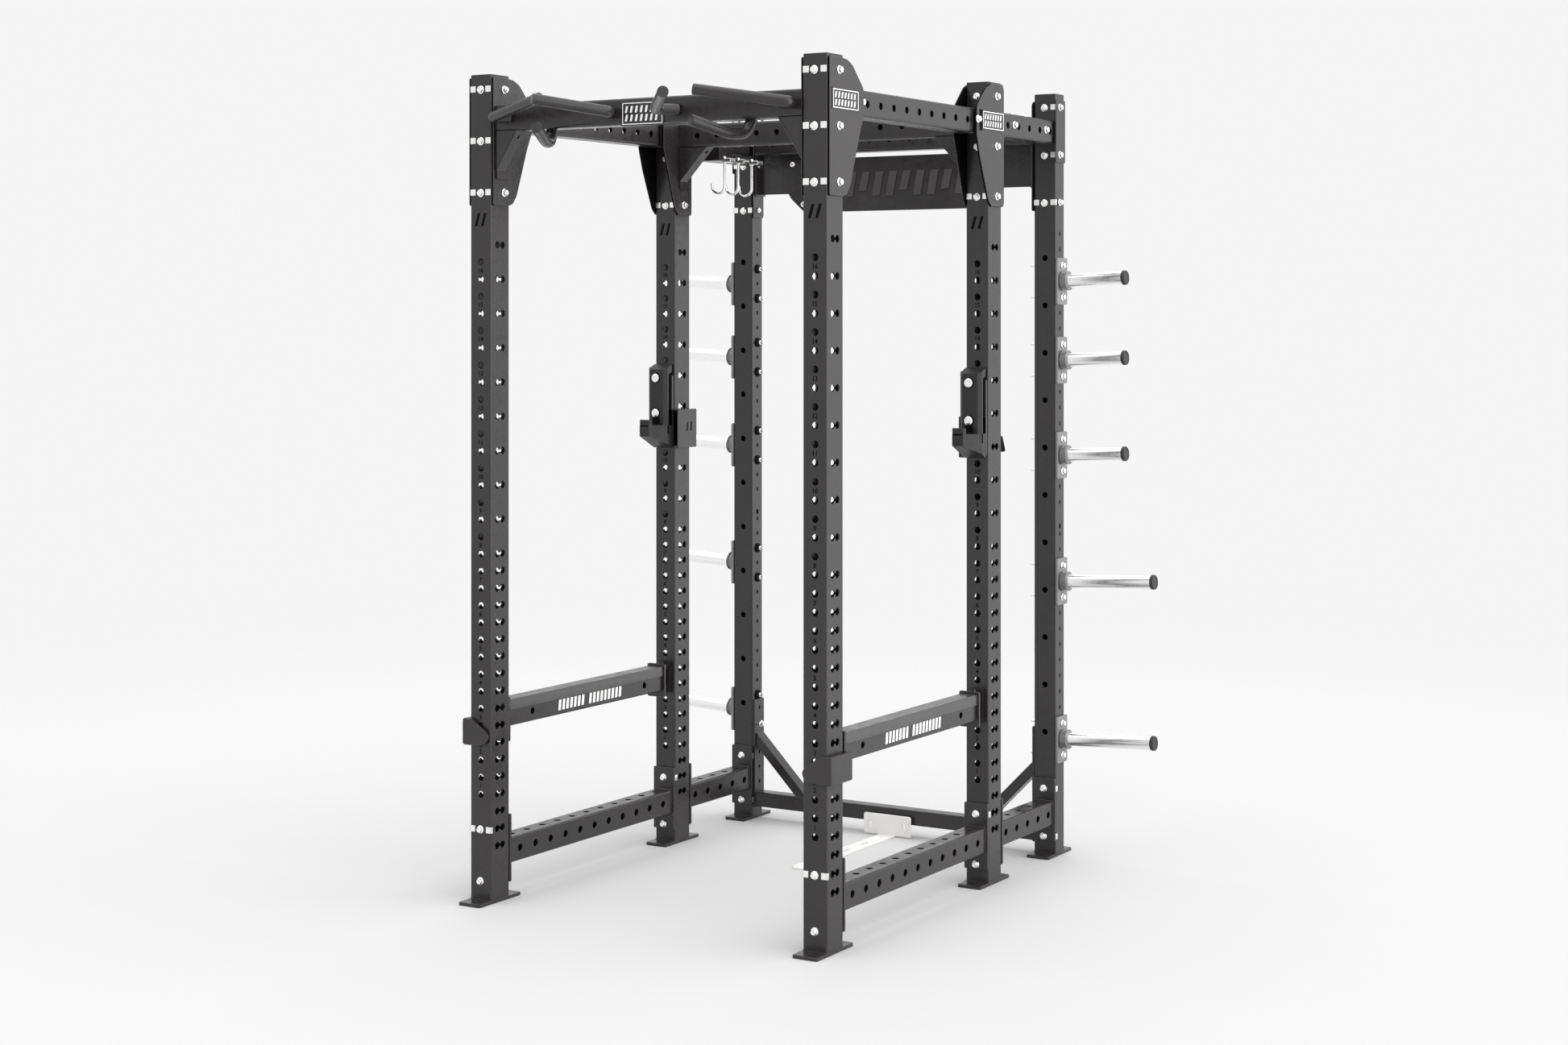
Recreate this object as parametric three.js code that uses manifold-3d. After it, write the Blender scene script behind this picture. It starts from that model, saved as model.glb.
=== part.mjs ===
// Power cage: six-upright rack with storage horns, bar cups and swing-out safety bars.
// Millimetres, +Z up, +X to the user's right, +Y to the rear.
import * as THREE from 'three';
import { mergeVertices } from 'three/addons/utils/BufferGeometryUtils.js';
import Module from 'manifold-3d';

const wasm = await Module();
wasm.setup();

// ---- driving dimensions -------------------------------------------------
const GAP = 0.4;                 // clearance between pieces that touch
const ROW_X = 574.4;             // upright centre line from the middle of the cage
const UP_W = 76.2;               // upright width, all six
const UP_D = 88.9;               // depth of the four cage uprights
const REAR_D = 66;               // depth of the two rear uprights
const WALL = 4;                  // tube wall
const CHAMFER = 4;               // flat that stands for the tube corner radius
const MID_Y = 971;               // front face of the middle uprights
const REAR_Y = 1450;             // front face of the rear uprights
const TUBE_TOP = 2449;           // top of the uprights
const FOOT_T = 10;               // foot plate thickness
const FOOT_OVER = 55;            // foot plate reach past the tube, front and rear
const CAP_T = 5;                 // end cap thickness
const PITCH = 50.8;              // hole pitch
const NUM_Z = 320.8;             // lower hole of position 1
const NUM_COUNT = 16;            // numbered positions
const PAIR_STEP = 4;             // paired side holes are cut at every fourth position
const HOLE_R = 10.6;             // round hole radius
const SLOT_HALF = 12.7;          // half spacing of the paired side holes
const TOP_SLOT_Z = 1946.4;       // single paired hole near the top
const REAR_HOLE_Z = 1617.4;      // one of the rear upright face holes
const REAR_HOLE_PITCH = 152.4;   // pitch of the rear upright face holes
const RAIL_W = 66;               // rail width
const RAIL_H = 76.2;             // rail height
const BASE_Z = 103;              // underside of the base rails
const TOP_Z = 2288;              // underside of the top rails
const FRONT_Z = TOP_Z - 7;       // underside of the front crossmember
const RAIL_PITCH = 76.2;         // hole pitch in the rails
const RAIL_HOLE = 8.5;           // half width of the rail holes
const FLANGE_T = 9;              // base rail end flange
const FLANGE_Z0 = 50;            // flange bottom
const FLANGE_Z1 = 252;           // flange top
const GUSSET_T = 7;              // top gusset, plate and liner together
const SIDE_T = 3.5;              // thin outer plate on the rear uprights
const GUSSET_REACH = 104;        // gusset reach past the upright along the rail
const GRIP_R = 16;               // pull-up grip radius
const HORN_Z = [374.6, 882.6, 1289, 1593.8, 1847.8];
const HORN_OUT = [327, 327, 229, 229, 229];
const HORN_R = 22;               // storage tube radius
const HORN_TILT = 2.6;           // upward tilt in degrees
const CUP_NUM = 11;              // numbered position of the bar cups
const SAFE_NUM = 3;              // numbered position of the safety bars
const SAFE_W = 50;               // safety tube width
const SAFE_Z0 = 510;             // safety tube underside
const SAFE_Z1 = 585;             // safety tube top
const PIVOT_Y = MID_Y - 26;      // vertical swing axis of the safety bars

// ---- derived ------------------------------------------------------------
const IN_X = ROW_X - UP_W / 2;
const OUT_X = ROW_X + UP_W / 2;
const MID_BACK = MID_Y + UP_D;
const REAR_BACK = REAR_Y + REAR_D;
const FRONT_CY = UP_D / 2;
const MID_CY = MID_Y + UP_D / 2;
const REAR_CY = REAR_Y + REAR_D / 2;
const TOP_CZ = TOP_Z + RAIL_H / 2;
const BASE_CZ = BASE_Z + RAIL_H / 2;
const numZ = (n) => NUM_Z + (n - 1) * 2 * PITCH;

// ---- materials ----------------------------------------------------------
const coat = { color: 0x424044, roughness: 0.55, metalness: 0.35 };
const zinc = { color: 0xc9c9c8, roughness: 0.3, metalness: 0.9 };
const chrome = { color: 0xe2e2e2, roughness: 0.12, metalness: 1 };
const grey = { color: 0x8a8889, roughness: 0.5, metalness: 0.4 };
const plastic = { color: 0x2b2a2c, roughness: 0.6, metalness: 0 };
const pale = { color: 0xd9d8d4, roughness: 0.45, metalness: 0.3 };

// ---- solid helpers ------------------------------------------------------
function solid(geometry) {
  const bare = new THREE.BufferGeometry();
  const source = geometry.index ? geometry.toNonIndexed() : geometry;
  bare.setAttribute('position', source.getAttribute('position'));
  const merged = mergeVertices(bare, 1e-4);
  const mesh = new wasm.Mesh({
    numProp: 3,
    vertProperties: Float32Array.from(merged.getAttribute('position').array),
    triVerts: Uint32Array.from(merged.index.array),
  });
  return new wasm.Manifold(mesh);
}

function box(x0, x1, y0, y1, z0, z1) {
  const g = new THREE.BoxGeometry(x1 - x0, y1 - y0, z1 - z0);
  g.translate((x0 + x1) / 2, (y0 + y1) / 2, (z0 + z1) / 2);
  return solid(g);
}

function outline(points) {
  const shape = new THREE.Shape();
  points.forEach((p, i) => (i ? shape.lineTo(p[0], p[1]) : shape.moveTo(p[0], p[1])));
  shape.closePath();
  return shape;
}

function extrude(points, depth) {
  return new THREE.ExtrudeGeometry(outline(points), { depth, bevelEnabled: false, steps: 1 });
}

// polygon in X,Y raised from z0 to z1
function plateZ(points, z0, z1) {
  const g = extrude(points, z1 - z0);
  g.translate(0, 0, z0);
  return solid(g);
}

// polygon in Y,Z swept from x0 to x1
function plateX(points, x0, x1) {
  const g = extrude(points, x1 - x0);
  g.applyMatrix4(new THREE.Matrix4().set(0, 0, 1, x0, 1, 0, 0, 0, 0, 1, 0, 0, 0, 0, 0, 1));
  return solid(g);
}

// polygon in X,Z swept from y0 to y1
function plateY(points, y0, y1) {
  const g = extrude(points, y1 - y0);
  g.applyMatrix4(new THREE.Matrix4().set(1, 0, 0, 0, 0, 0, -1, y1, 0, 1, 0, 0, 0, 0, 0, 1));
  return solid(g);
}

// closed ring of points around a centre
function ring(cx, cy, radius, sides, turn = 0) {
  const out = [];
  for (let i = 0; i < sides; i += 1) {
    const a = turn + (i * 2 * Math.PI) / sides;
    out.push([cx + radius * Math.cos(a), cy + radius * Math.sin(a)]);
  }
  return out;
}

// box outline with cut corners
function cut(x0, x1, y0, y1, c) {
  return [
    [x0 + c, y0], [x1 - c, y0], [x1, y0 + c], [x1, y1 - c],
    [x1 - c, y1], [x0 + c, y1], [x0, y1 - c], [x0, y0 + c],
  ];
}

// paired side hole as one long opening in Y,Z
function pair(cy, cz, full) {
  const r = HOLE_R * 0.95;
  const end = SLOT_HALF + r;
  if (full) {
    const k = end - 4;
    return [[cy - k, cz - r], [cy + k, cz - r], [cy + end, cz - r / 2], [cy + end, cz + r / 2],
      [cy + k, cz + r], [cy - k, cz + r], [cy - end, cz + r / 2], [cy - end, cz - r / 2]];
  }
  return [[cy - SLOT_HALF, cz - r], [cy + SLOT_HALF, cz - r], [cy + end, cz],
    [cy + SLOT_HALF, cz + r], [cy - SLOT_HALF, cz + r], [cy - end, cz]];
}

// small square hole outline
const square = (x, y, h) => [[x - h, y - h], [x + h, y - h], [x + h, y + h], [x - h, y + h]];

const sum = (list) => wasm.Manifold.union(list);
const less = (body, cuts) => (cuts.length ? body.subtract(sum(cuts)) : body);

// round bar through a list of points, mitred at the bends
function bar(points, radius, sides) {
  const path = points.map((p) => new THREE.Vector3(...p));
  const last = path.length - 1;
  const dirs = [];
  for (let i = 0; i < last; i += 1) {
    dirs.push(path[i + 1].clone().sub(path[i]).normalize());
  }
  const seed = Math.abs(dirs[0].z) > 0.9 ? new THREE.Vector3(1, 0, 0) : new THREE.Vector3(0, 0, 1);
  const u = seed.clone().cross(dirs[0]).normalize();
  const v = dirs[0].clone().cross(u);
  let arms = [];
  for (let k = 0; k < sides; k += 1) {
    const a = (k * 2 * Math.PI) / sides;
    arms.push(u.clone().multiplyScalar(Math.cos(a)).addScaledVector(v, Math.sin(a)));
  }
  const rings = [];
  for (let i = 0; i <= last; i += 1) {
    const into = dirs[Math.max(0, i - 1)];
    const out = dirs[Math.min(last - 1, i)];
    const n = into.clone().add(out).normalize();
    const placed = arms.map((o) => o.clone().addScaledVector(into, -o.dot(n) / into.dot(n)));
    rings.push(placed.map((o) => path[i].clone().addScaledVector(o, radius)));
    arms = placed.map((o) => o.clone().addScaledVector(out, -o.dot(out)).normalize());
  }
  const spots = [];
  const face = (a, b, c) => spots.push(...a.toArray(), ...b.toArray(), ...c.toArray());
  for (let i = 0; i < last; i += 1) {
    for (let k = 0; k < sides; k += 1) {
      const m = (k + 1) % sides;
      face(rings[i][k], rings[i][m], rings[i + 1][m]);
      face(rings[i][k], rings[i + 1][m], rings[i + 1][k]);
    }
  }
  for (let k = 0; k < sides; k += 1) {
    const m = (k + 1) % sides;
    face(path[0], rings[0][m], rings[0][k]);
    face(path[last], rings[last][k], rings[last][m]);
  }
  const g = new THREE.BufferGeometry();
  g.setAttribute('position', new THREE.BufferAttribute(new Float32Array(spots), 3));
  return solid(g);
}

const group = new THREE.Group();
group.name = 'power_cage';

function add(name, body, look) {
  const out = body.getMesh();
  const g = new THREE.BufferGeometry();
  g.setAttribute('position', new THREE.BufferAttribute(Float32Array.from(out.vertProperties), 3));
  g.setIndex(new THREE.BufferAttribute(Uint32Array.from(out.triVerts), 1));
  const flat = g.toNonIndexed();
  flat.computeVertexNormals();
  const mesh = new THREE.Mesh(flat, new THREE.MeshStandardMaterial(look));
  mesh.name = name;
  group.add(mesh);
}

// build a right-hand piece and its mirror image
function addPair(name, body, look) {
  add(`${name}_right`, body, look);
  add(`${name}_left`, body.mirror([1, 0, 0]), look);
}

// ---- uprights -----------------------------------------------------------
function post(y0, depth) {
  const x0 = IN_X;
  const x1 = OUT_X;
  const tube = plateZ(cut(x0, x1, y0, y0 + depth, CHAMFER), 0, TUBE_TOP);
  const bore = box(x0 + WALL, x1 - WALL, y0 + WALL, y0 + depth - WALL, FOOT_T, TUBE_TOP - CAP_T);
  const foot = box(x0, x1, y0 - FOOT_OVER, y0 + depth + FOOT_OVER, 0, FOOT_T);
  return less(sum([tube, foot]), [bore]);
}

function cageUpright(y0) {
  const cy = y0 + UP_D / 2;
  const cuts = [];
  for (let n = 1; n <= NUM_COUNT; n += 1) {
    const z = numZ(n);
    cuts.push(plateY(ring(ROW_X, z, HOLE_R, 6), y0 - 1, y0 + UP_D + 1));
    if (n % PAIR_STEP === 3) {
      cuts.push(plateX(pair(cy, z, n === CUP_NUM || n === SAFE_NUM), IN_X - 1, OUT_X + 1));
    }
  }
  cuts.push(plateX(pair(cy, TOP_SLOT_Z, false), IN_X - 1, OUT_X + 1));
  return less(post(y0, UP_D), cuts);
}

function rearUpright() {
  const cuts = [];
  for (let k = -4; k <= 8; k += 1) {
    const z = REAR_HOLE_Z - k * REAR_HOLE_PITCH;
    if (z < 2050) {
      cuts.push(plateY(square(ROW_X, z, RAIL_HOLE), REAR_Y - 1, REAR_BACK + 1));
    }
  }
  return less(post(REAR_Y, REAR_D), cuts);
}

addPair('upright_front', cageUpright(0), coat);
addPair('upright_middle', cageUpright(MID_Y), coat);
addPair('upright_rear', rearUpright(), coat);

// ---- base side rails ----------------------------------------------------
function railTube(y0, y1, z0) {
  const c = cut(ROW_X - RAIL_W / 2, ROW_X + RAIL_W / 2, z0, z0 + RAIL_H, CHAMFER);
  const inner = cut(ROW_X - RAIL_W / 2 + WALL, ROW_X + RAIL_W / 2 - WALL, z0 + WALL, z0 + RAIL_H - WALL, 1);
  return [plateY(c, y0, y1), plateY(inner, y0 + 1, y1 - 1)];
}

function sideHoles(y0, y1, z, count) {
  const cuts = [];
  const first = (y0 + y1) / 2 - ((count - 1) * RAIL_PITCH) / 2;
  for (let i = 0; i < count; i += 1) {
    const y = first + i * RAIL_PITCH;
    cuts.push(plateX(square(y, z, RAIL_HOLE), ROW_X - RAIL_W, ROW_X + RAIL_W));
  }
  return cuts;
}

function baseRail(y0, y1, count) {
  const [outer, inner] = railTube(y0 + FLANGE_T - 1, y1 - FLANGE_T + 1, BASE_Z);
  const a = box(IN_X, OUT_X, y0, y0 + FLANGE_T, FLANGE_Z0, FLANGE_Z1);
  const b = box(IN_X, OUT_X, y1 - FLANGE_T, y1, FLANGE_Z0, FLANGE_Z1);
  return less(sum([less(outer, [inner]), a, b]), sideHoles(y0, y1, BASE_CZ, count));
}

addPair('base_rail_front', baseRail(UP_D + GAP, MID_Y - GAP, 11), coat);
addPair('base_rail_rear', baseRail(MID_BACK + GAP, REAR_Y - GAP, 5), coat);

// ---- top side rails with gussets ---------------------------------------
// gusset outline for an upright whose near face is at y, reaching along dir
function gussetLine(face, depth, dir, over) {
  const p = (d, z) => [face + dir * d, z];
  const line = [
    p(-depth + 4, 2063), p(-14, 2063), p(8, 2072), p(28, 2095), p(50, 2151),
    p(76, 2231), p(over, 2288), p(over, 2361), p(50, 2412), p(14, 2437), p(-16, 2442), p(-depth + 4, 2442),
  ];
  return dir > 0 ? line : line.reverse();
}

function topRailFront() {
  const [outer, inner] = railTube(UP_D + GAP, MID_Y - GAP, TOP_Z);
  const a = gussetLine(UP_D, UP_D, 1, GUSSET_REACH);
  const b = gussetLine(MID_Y, UP_D, -1, GUSSET_REACH - 14);
  const plates = [];
  const web = ROW_X - RAIL_W / 2;
  for (const line of [a, b]) {
    plates.push(plateX(line, OUT_X + GAP, OUT_X + GAP + GUSSET_T));
    plates.push(plateX(line, IN_X - GAP - GUSSET_T, IN_X - GAP));
  }
  const pads = [];
  for (const [y0, y1] of [[UP_D + GAP, UP_D + 90], [MID_Y - 76, MID_Y - GAP]]) {
    pads.push(box(IN_X - GAP - 1, web + 1, y0, y1, TOP_Z + 4, TOP_Z + RAIL_H - 4));
    pads.push(box(ROW_X + RAIL_W / 2 - 1, OUT_X + GAP + 1, y0, y1, TOP_Z + 4, TOP_Z + RAIL_H - 4));
  }
  const body = sum([less(outer, [inner]), ...plates, ...pads]);
  return less(body, sideHoles(UP_D, MID_Y - 2, TOP_CZ, 9));
}

function topRailRear() {
  const [outer, inner] = railTube(MID_BACK + GAP, REAR_Y - GAP, TOP_Z);
  const front = REAR_Y - 4;
  const inside = [
    [front, 2075], [REAR_BACK - 4, 2075], [REAR_BACK - 4, 2428], [front + 8, 2428], [front, 2420],
  ];
  const outside = [[front, 2229], [REAR_BACK - 1, 2229], [REAR_BACK - 1, 2430], [front, 2430]];
  const web = ROW_X - RAIL_W / 2;
  const z0 = TOP_Z + 4;
  const z1 = TOP_Z + RAIL_H - 4;
  const plates = [
    plateX(outside, OUT_X + GAP, OUT_X + GAP + SIDE_T),
    plateX(inside, IN_X - GAP - GUSSET_T, IN_X - GAP),
    box(IN_X - GAP - 1, web + 1, REAR_Y - 10, REAR_Y - GAP, z0, z1),
    box(ROW_X + RAIL_W / 2 - 1, OUT_X + GAP + 1, REAR_Y - 10, REAR_Y - GAP, z0, z1),
  ];
  const body = sum([less(outer, [inner]), ...plates]);
  return less(body, sideHoles(MID_BACK, REAR_Y, TOP_CZ, 5));
}

addPair('top_rail_front', topRailFront(), coat);
addPair('top_rail_rear', topRailRear(), coat);

// ---- crossmembers -------------------------------------------------------
const SPAN = IN_X - 2 * GAP - GUSSET_T;

function crossTube(half, cy, z0, width, height) {
  const c = cut(cy - width / 2, cy + width / 2, z0, z0 + height, CHAMFER);
  const inner = cut(cy - width / 2 + WALL, cy + width / 2 - WALL, z0 + WALL, z0 + height - WALL, 1);
  return less(plateX(c, -half, half), [plateX(inner, -half + 5, half - 5)]);
}

// end plate and 45 degree brace under a crossmember, right-hand side
function knee(half, drop, reach, face, under) {
  const z = under + 2;
  const w = 44;
  const web = [[half - reach, z], [half - 2, z - drop], [half, z - drop], [half, z]];
  const strip = [
    [half - reach - 7, z], [half - reach + 3, z], [half, z - drop + 7],
    [half, z - drop - 6], [half - 3, z - drop - 6],
  ];
  return [plateY(web, face, face + 6), plateY(strip, face, face + w)];
}

function frontBeam() {
  const tube = crossTube(SPAN, FRONT_CY, FRONT_Z, RAIL_W, RAIL_H);
  const right = sum(knee(SPAN, 118, 78, FRONT_CY - RAIL_W / 2, FRONT_Z));
  const vent = plateX(ring(FRONT_CY, TOP_CZ, 6, 6), -SPAN - 1, SPAN + 1);
  return less(sum([tube, right, right.mirror([1, 0, 0])]), [vent]);
}

function crossHoles(count, y0, y1) {
  const cuts = [];
  for (let i = 0; i < count; i += 1) {
    const x = (i - (count - 1) / 2) * RAIL_PITCH;
    cuts.push(plateY(square(x, TOP_CZ, RAIL_HOLE - 1), y0, y1));
  }
  return cuts;
}

function middleBeam() {
  const tube = crossTube(SPAN, MID_CY, TOP_Z, RAIL_W, RAIL_H);
  const right = sum(knee(SPAN, 112, 108, MID_CY - RAIL_W / 2, TOP_Z));
  const body = sum([tube, right, right.mirror([1, 0, 0])]);
  return less(body, crossHoles(11, MID_Y - 5, MID_BACK + 5));
}

function rearBeam() {
  const tube = crossTube(SPAN, REAR_CY, TOP_Z, RAIL_W, RAIL_H);
  const ear = [[340, 2155], [SPAN, 2155], [SPAN, TOP_Z + 4], [340, TOP_Z + 4]];
  const right = plateY(ear, REAR_CY - 3, REAR_CY + 3);
  const body = sum([tube, right, right.mirror([1, 0, 0])]);
  return less(body, crossHoles(11, REAR_Y - 5, REAR_BACK + 5));
}

add('top_beam_front', frontBeam(), coat);
add('top_beam_middle', middleBeam(), coat);
add('top_beam_rear', rearBeam(), coat);

// ---- sign panel ---------------------------------------------------------
const SIGN_Y0 = REAR_CY - 3 - GAP - 7;
const signLine = [
  [-336, 2090], [336, 2090], [345, 2094], [392, 2136], [405, 2155],
  [405, 2262], [396, 2272], [-396, 2272], [-405, 2262], [-405, 2155], [-392, 2136], [-345, 2094],
];
const ribs = [];
for (let i = 0; i < 9; i += 1) {
  const x = (i - 4) * 70;
  const slant = [[x - 26, 2140], [x + 14, 2140], [x + 26, 2222], [x - 14, 2222]];
  ribs.push(plateY(slant, SIGN_Y0 - 4, SIGN_Y0 + 1));
}
add('sign_panel', sum([plateY(signLine, SIGN_Y0, SIGN_Y0 + 7), ...ribs]), coat);

// ---- pull-up grips ------------------------------------------------------
const FACE_Y = FRONT_CY - RAIL_W / 2 - GAP;
addPair('grip_outer', bar([[468, FACE_Y, 2320], [516, -26, 2318], [262, -127, 2357]], GRIP_R, 10)
  .subtract(box(300, 560, FACE_Y, FACE_Y + 40, 2280, 2360)), coat);
addPair('grip_inner', bar([[122, FACE_Y, 2318], [78, -42, 2316], [222, -214, 2346]], GRIP_R, 10)
  .subtract(box(60, 200, FACE_Y, FACE_Y + 40, 2280, 2360)), coat);
const lowerPath = [[345, FRONT_CY, FRONT_Z - GAP], [336, 26, 2243], [318, -20, 2238], [263, -139, 2272]];
addPair('grip_lower', bar(lowerPath, GRIP_R, 10)
  .subtract(box(300, 390, -40, 100, FRONT_Z - GAP, TOP_Z + 40)), coat);

// ---- rear base beam with braces ----------------------------------------
function rearBase() {
  const half = IN_X - GAP;
  const c = cut(REAR_CY - 25, REAR_CY + 25, 48, 98, 3);
  const inner = cut(REAR_CY - 21, REAR_CY + 21, 52, 94, 1);
  const tube = less(plateX(c, -half, half), [plateX(inner, -half + 9, half - 9)]);
  const plate = box(half - 8, half, REAR_CY - 30, REAR_CY + 30, 40, 412);
  const line = [[half - 2, 305], [half - 2, 258], [half - 174, 86], [half - 221, 86]];
  const strut = plateY(line, REAR_CY - 22, REAR_CY + 22);
  const vent = plateX(ring(REAR_CY, 73, 6, 6), half - 30, half + 1);
  const right = sum([plate, strut]);
  const body = sum([tube, right, right.mirror([1, 0, 0])]);
  return less(body, [vent, vent.mirror([1, 0, 0])]);
}
add('base_beam_rear', rearBase(), coat);

// ---- storage horns ------------------------------------------------------
function horn(z, reach) {
  const plate = plateX(cut(REAR_CY - 35, REAR_CY + 38, z - 75, z + 75, 5), OUT_X + GAP, OUT_X + 9);
  const parts = [plate];
  const lean = Math.tan((HORN_TILT * Math.PI) / 180);
  const x0 = OUT_X + 5;
  const x1 = OUT_X + reach - 9;
  parts.push(bar([[x0, REAR_CY, z], [OUT_X + 26, REAR_CY, z + 21 * lean]], 31, 10));
  parts.push(bar([[x0 + 8, REAR_CY, z + 8 * lean], [x1, REAR_CY, z + (x1 - x0) * lean]], HORN_R, 12));
  return sum(parts);
}

function hornCap(z, reach) {
  const lean = Math.tan((HORN_TILT * Math.PI) / 180);
  const x0 = OUT_X + reach - 9 + 0.5;
  const x1 = OUT_X + reach;
  const zc = z + (x0 - OUT_X - 5) * lean;
  return bar([[x0, REAR_CY, zc], [x1, REAR_CY, zc + (x1 - x0) * lean]], HORN_R + 1.5, 12);
}

HORN_Z.forEach((z, i) => {
  addPair(`horn_${i + 1}`, horn(z, HORN_OUT[i]), chrome);
  addPair(`horn_cap_${i + 1}`, hornCap(z, HORN_OUT[i]), plastic);
});

// ---- bar cups -----------------------------------------------------------
// the wrap closes on the inner side and slides off toward the middle of the cage
function cupBracket() {
  const pinZ = numZ(CUP_NUM);
  const f = MID_Y - 1;
  const side = [[f - 10, 1304], [MID_BACK + 11, 1304], [MID_BACK + 11, 1429], [f - 10, 1429]];
  const front = box(IN_X - 20, OUT_X - 4, f - 10, f, 1310, 1429);
  const spine = box(IN_X + 4, OUT_X - 4, f - 10, f, 1400, 1544);
  const rear = box(IN_X - 20, OUT_X - 6, MID_BACK + 1, MID_BACK + 11, 1318, 1366);
  const flare = plateZ([
    [OUT_X - 18, MID_BACK + 1], [OUT_X - 2, MID_BACK + 14],
    [OUT_X - 2, MID_BACK + 32], [OUT_X - 18, MID_BACK + 11],
  ], 1318, 1366);
  const pin = plateX(ring(MID_CY, pinZ, 7, 8), IN_X - 18, IN_X + 16);
  return sum([plateX(side, IN_X - 20, IN_X - 2), front, spine, rear, flare, pin]);
}

function cupLiner() {
  const b = MID_Y - 11 - GAP;
  const x0 = IN_X + 1;
  const x1 = OUT_X - 2;
  const fore = MID_Y - 50;
  const core = box(x0 + 10, x1 - 12, fore + 8, b, 1330, 1560);
  const pad = plateZ([
    [x0 + 10, fore], [x1 - 10, fore], [x1, fore + 10], [x1, fore + 16], [x0, fore + 16], [x0, fore + 10],
  ], 1372, 1561);
  const seat = [[x0, b], [x0, MID_Y - 94], [x0 + 37, MID_Y - 94], [x1, MID_Y - 40], [x1, b]];
  const under = [[MID_Y - 94, 1341], [MID_Y, 1300], [MID_Y, 1250], [MID_Y - 100, 1250]];
  const low = less(plateZ(seat, 1307, 1379), [plateX(under, x0 - 5, x1 + 5)]);
  const edge = [[x0, MID_Y - 94], [x0 + 37, MID_Y - 94], [x0 + 42, MID_Y - 84], [x0, MID_Y - 84]];
  const lip = plateZ(edge, 1374, 1397);
  return sum([core, pad, low, lip]);
}

addPair('cup_bracket', cupBracket(), coat);
// both liners are the same hand
add('cup_liner_right', cupLiner(), plastic);
add('cup_liner_left', cupLiner().translate([-2 * ROW_X, 0, 0]), plastic);

// ---- safety bars --------------------------------------------------------
// the wrap closes on the outer side and the bar swings outward on a vertical pin
const PIN_R = 8;

function safetyBar() {
  const y0 = UP_D + 2;
  const y1 = MID_Y - 46;
  const tube = plateY(cut(ROW_X - SAFE_W / 2, ROW_X + SAFE_W / 2, SAFE_Z0, SAFE_Z1, 3), y0 + 8, y1 - 8);
  const hollow = cut(ROW_X - SAFE_W / 2 + 4, ROW_X + SAFE_W / 2 - 4, SAFE_Z0 + 4, SAFE_Z1 - 4, 1);
  const bore = plateY(hollow, y0 + 12, y1 - 12);
  const near = box(ROW_X - 34, OUT_X + 2, y0, y0 + 10, 466, 599);
  const side = box(OUT_X + 2, OUT_X + 21, -12, y0 + 12, 466, 544);
  const hook = plateY([
    [OUT_X + 21, 466], [OUT_X + 21, 544], [OUT_X - 12, 544], [IN_X + 10, 508],
    [IN_X + 3, 494], [IN_X + 12, 474], [IN_X + 24, 470], [OUT_X - 6, 470], [OUT_X - 4, 466],
  ], -12, -2.4);
  const pin = plateX(ring(FRONT_CY, numZ(SAFE_NUM), 7, 8), OUT_X - 14, OUT_X + 4);
  const far = plateY(cut(ROW_X - 34, ROW_X + 34, 490, 598, 8), y1 - 9, y1);
  const tongue = plateZ([
    [ROW_X - 13, y1 - 1], [ROW_X + 13, y1 - 1], [ROW_X + 13, PIVOT_Y + 6], [ROW_X + 6, PIVOT_Y + 13],
    [ROW_X - 6, PIVOT_Y + 13], [ROW_X - 13, PIVOT_Y + 6],
  ], 524, 574);
  const eye = plateZ(ring(ROW_X, PIVOT_Y, PIN_R + 2, 8), 500, 600);
  const holes = [];
  for (const y of [y0 + 130, y1 - 110]) {
    holes.push(plateX(ring(y, 541, 10, 6), ROW_X - SAFE_W, ROW_X + SAFE_W));
  }
  return less(sum([less(tube, [bore]), near, side, hook, pin, far, tongue]), [eye, ...holes]);
}

function safetyLiner() {
  const y0 = UP_D + 2 + 10 + GAP;
  const y1 = MID_Y - 46 - 9 - GAP;
  const h = SAFE_W / 2 + GAP;
  const line = [
    [ROW_X - h - 3, SAFE_Z1 - 28], [ROW_X - h, SAFE_Z1 - 28], [ROW_X - h, SAFE_Z1 + GAP], [ROW_X + h, SAFE_Z1 + GAP],
    [ROW_X + h, SAFE_Z1 - 28], [ROW_X + h + 3, SAFE_Z1 - 28], [ROW_X + h + 3, SAFE_Z1 + 2], [ROW_X + h, SAFE_Z1 + 5],
    [ROW_X - h, SAFE_Z1 + 5], [ROW_X - h - 3, SAFE_Z1 + 2],
  ];
  return plateY(line, y0, y1);
}

function safetyPivot() {
  const f = MID_Y - GAP;
  const back = box(ROW_X - 22, ROW_X + 22, f - 8, f, 500, 600);
  const low = plateZ(cut(ROW_X - 14, ROW_X + 14, PIVOT_Y - 16, f - 2, 6), 506, 523);
  const high = plateZ(cut(ROW_X - 14, ROW_X + 14, PIVOT_Y - 16, f - 2, 6), 575, 592);
  const rod = plateZ(ring(ROW_X, PIVOT_Y, PIN_R, 8), 502, 600);
  const stud = plateY(ring(ROW_X, numZ(SAFE_NUM), 8, 8), f - 4, f + 22);
  return sum([back, low, high, rod, stud]);
}

addPair('safety_bar', safetyBar(), coat);
addPair('safety_liner', safetyLiner(), plastic);
addPair('safety_pivot', safetyPivot(), coat);

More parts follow.
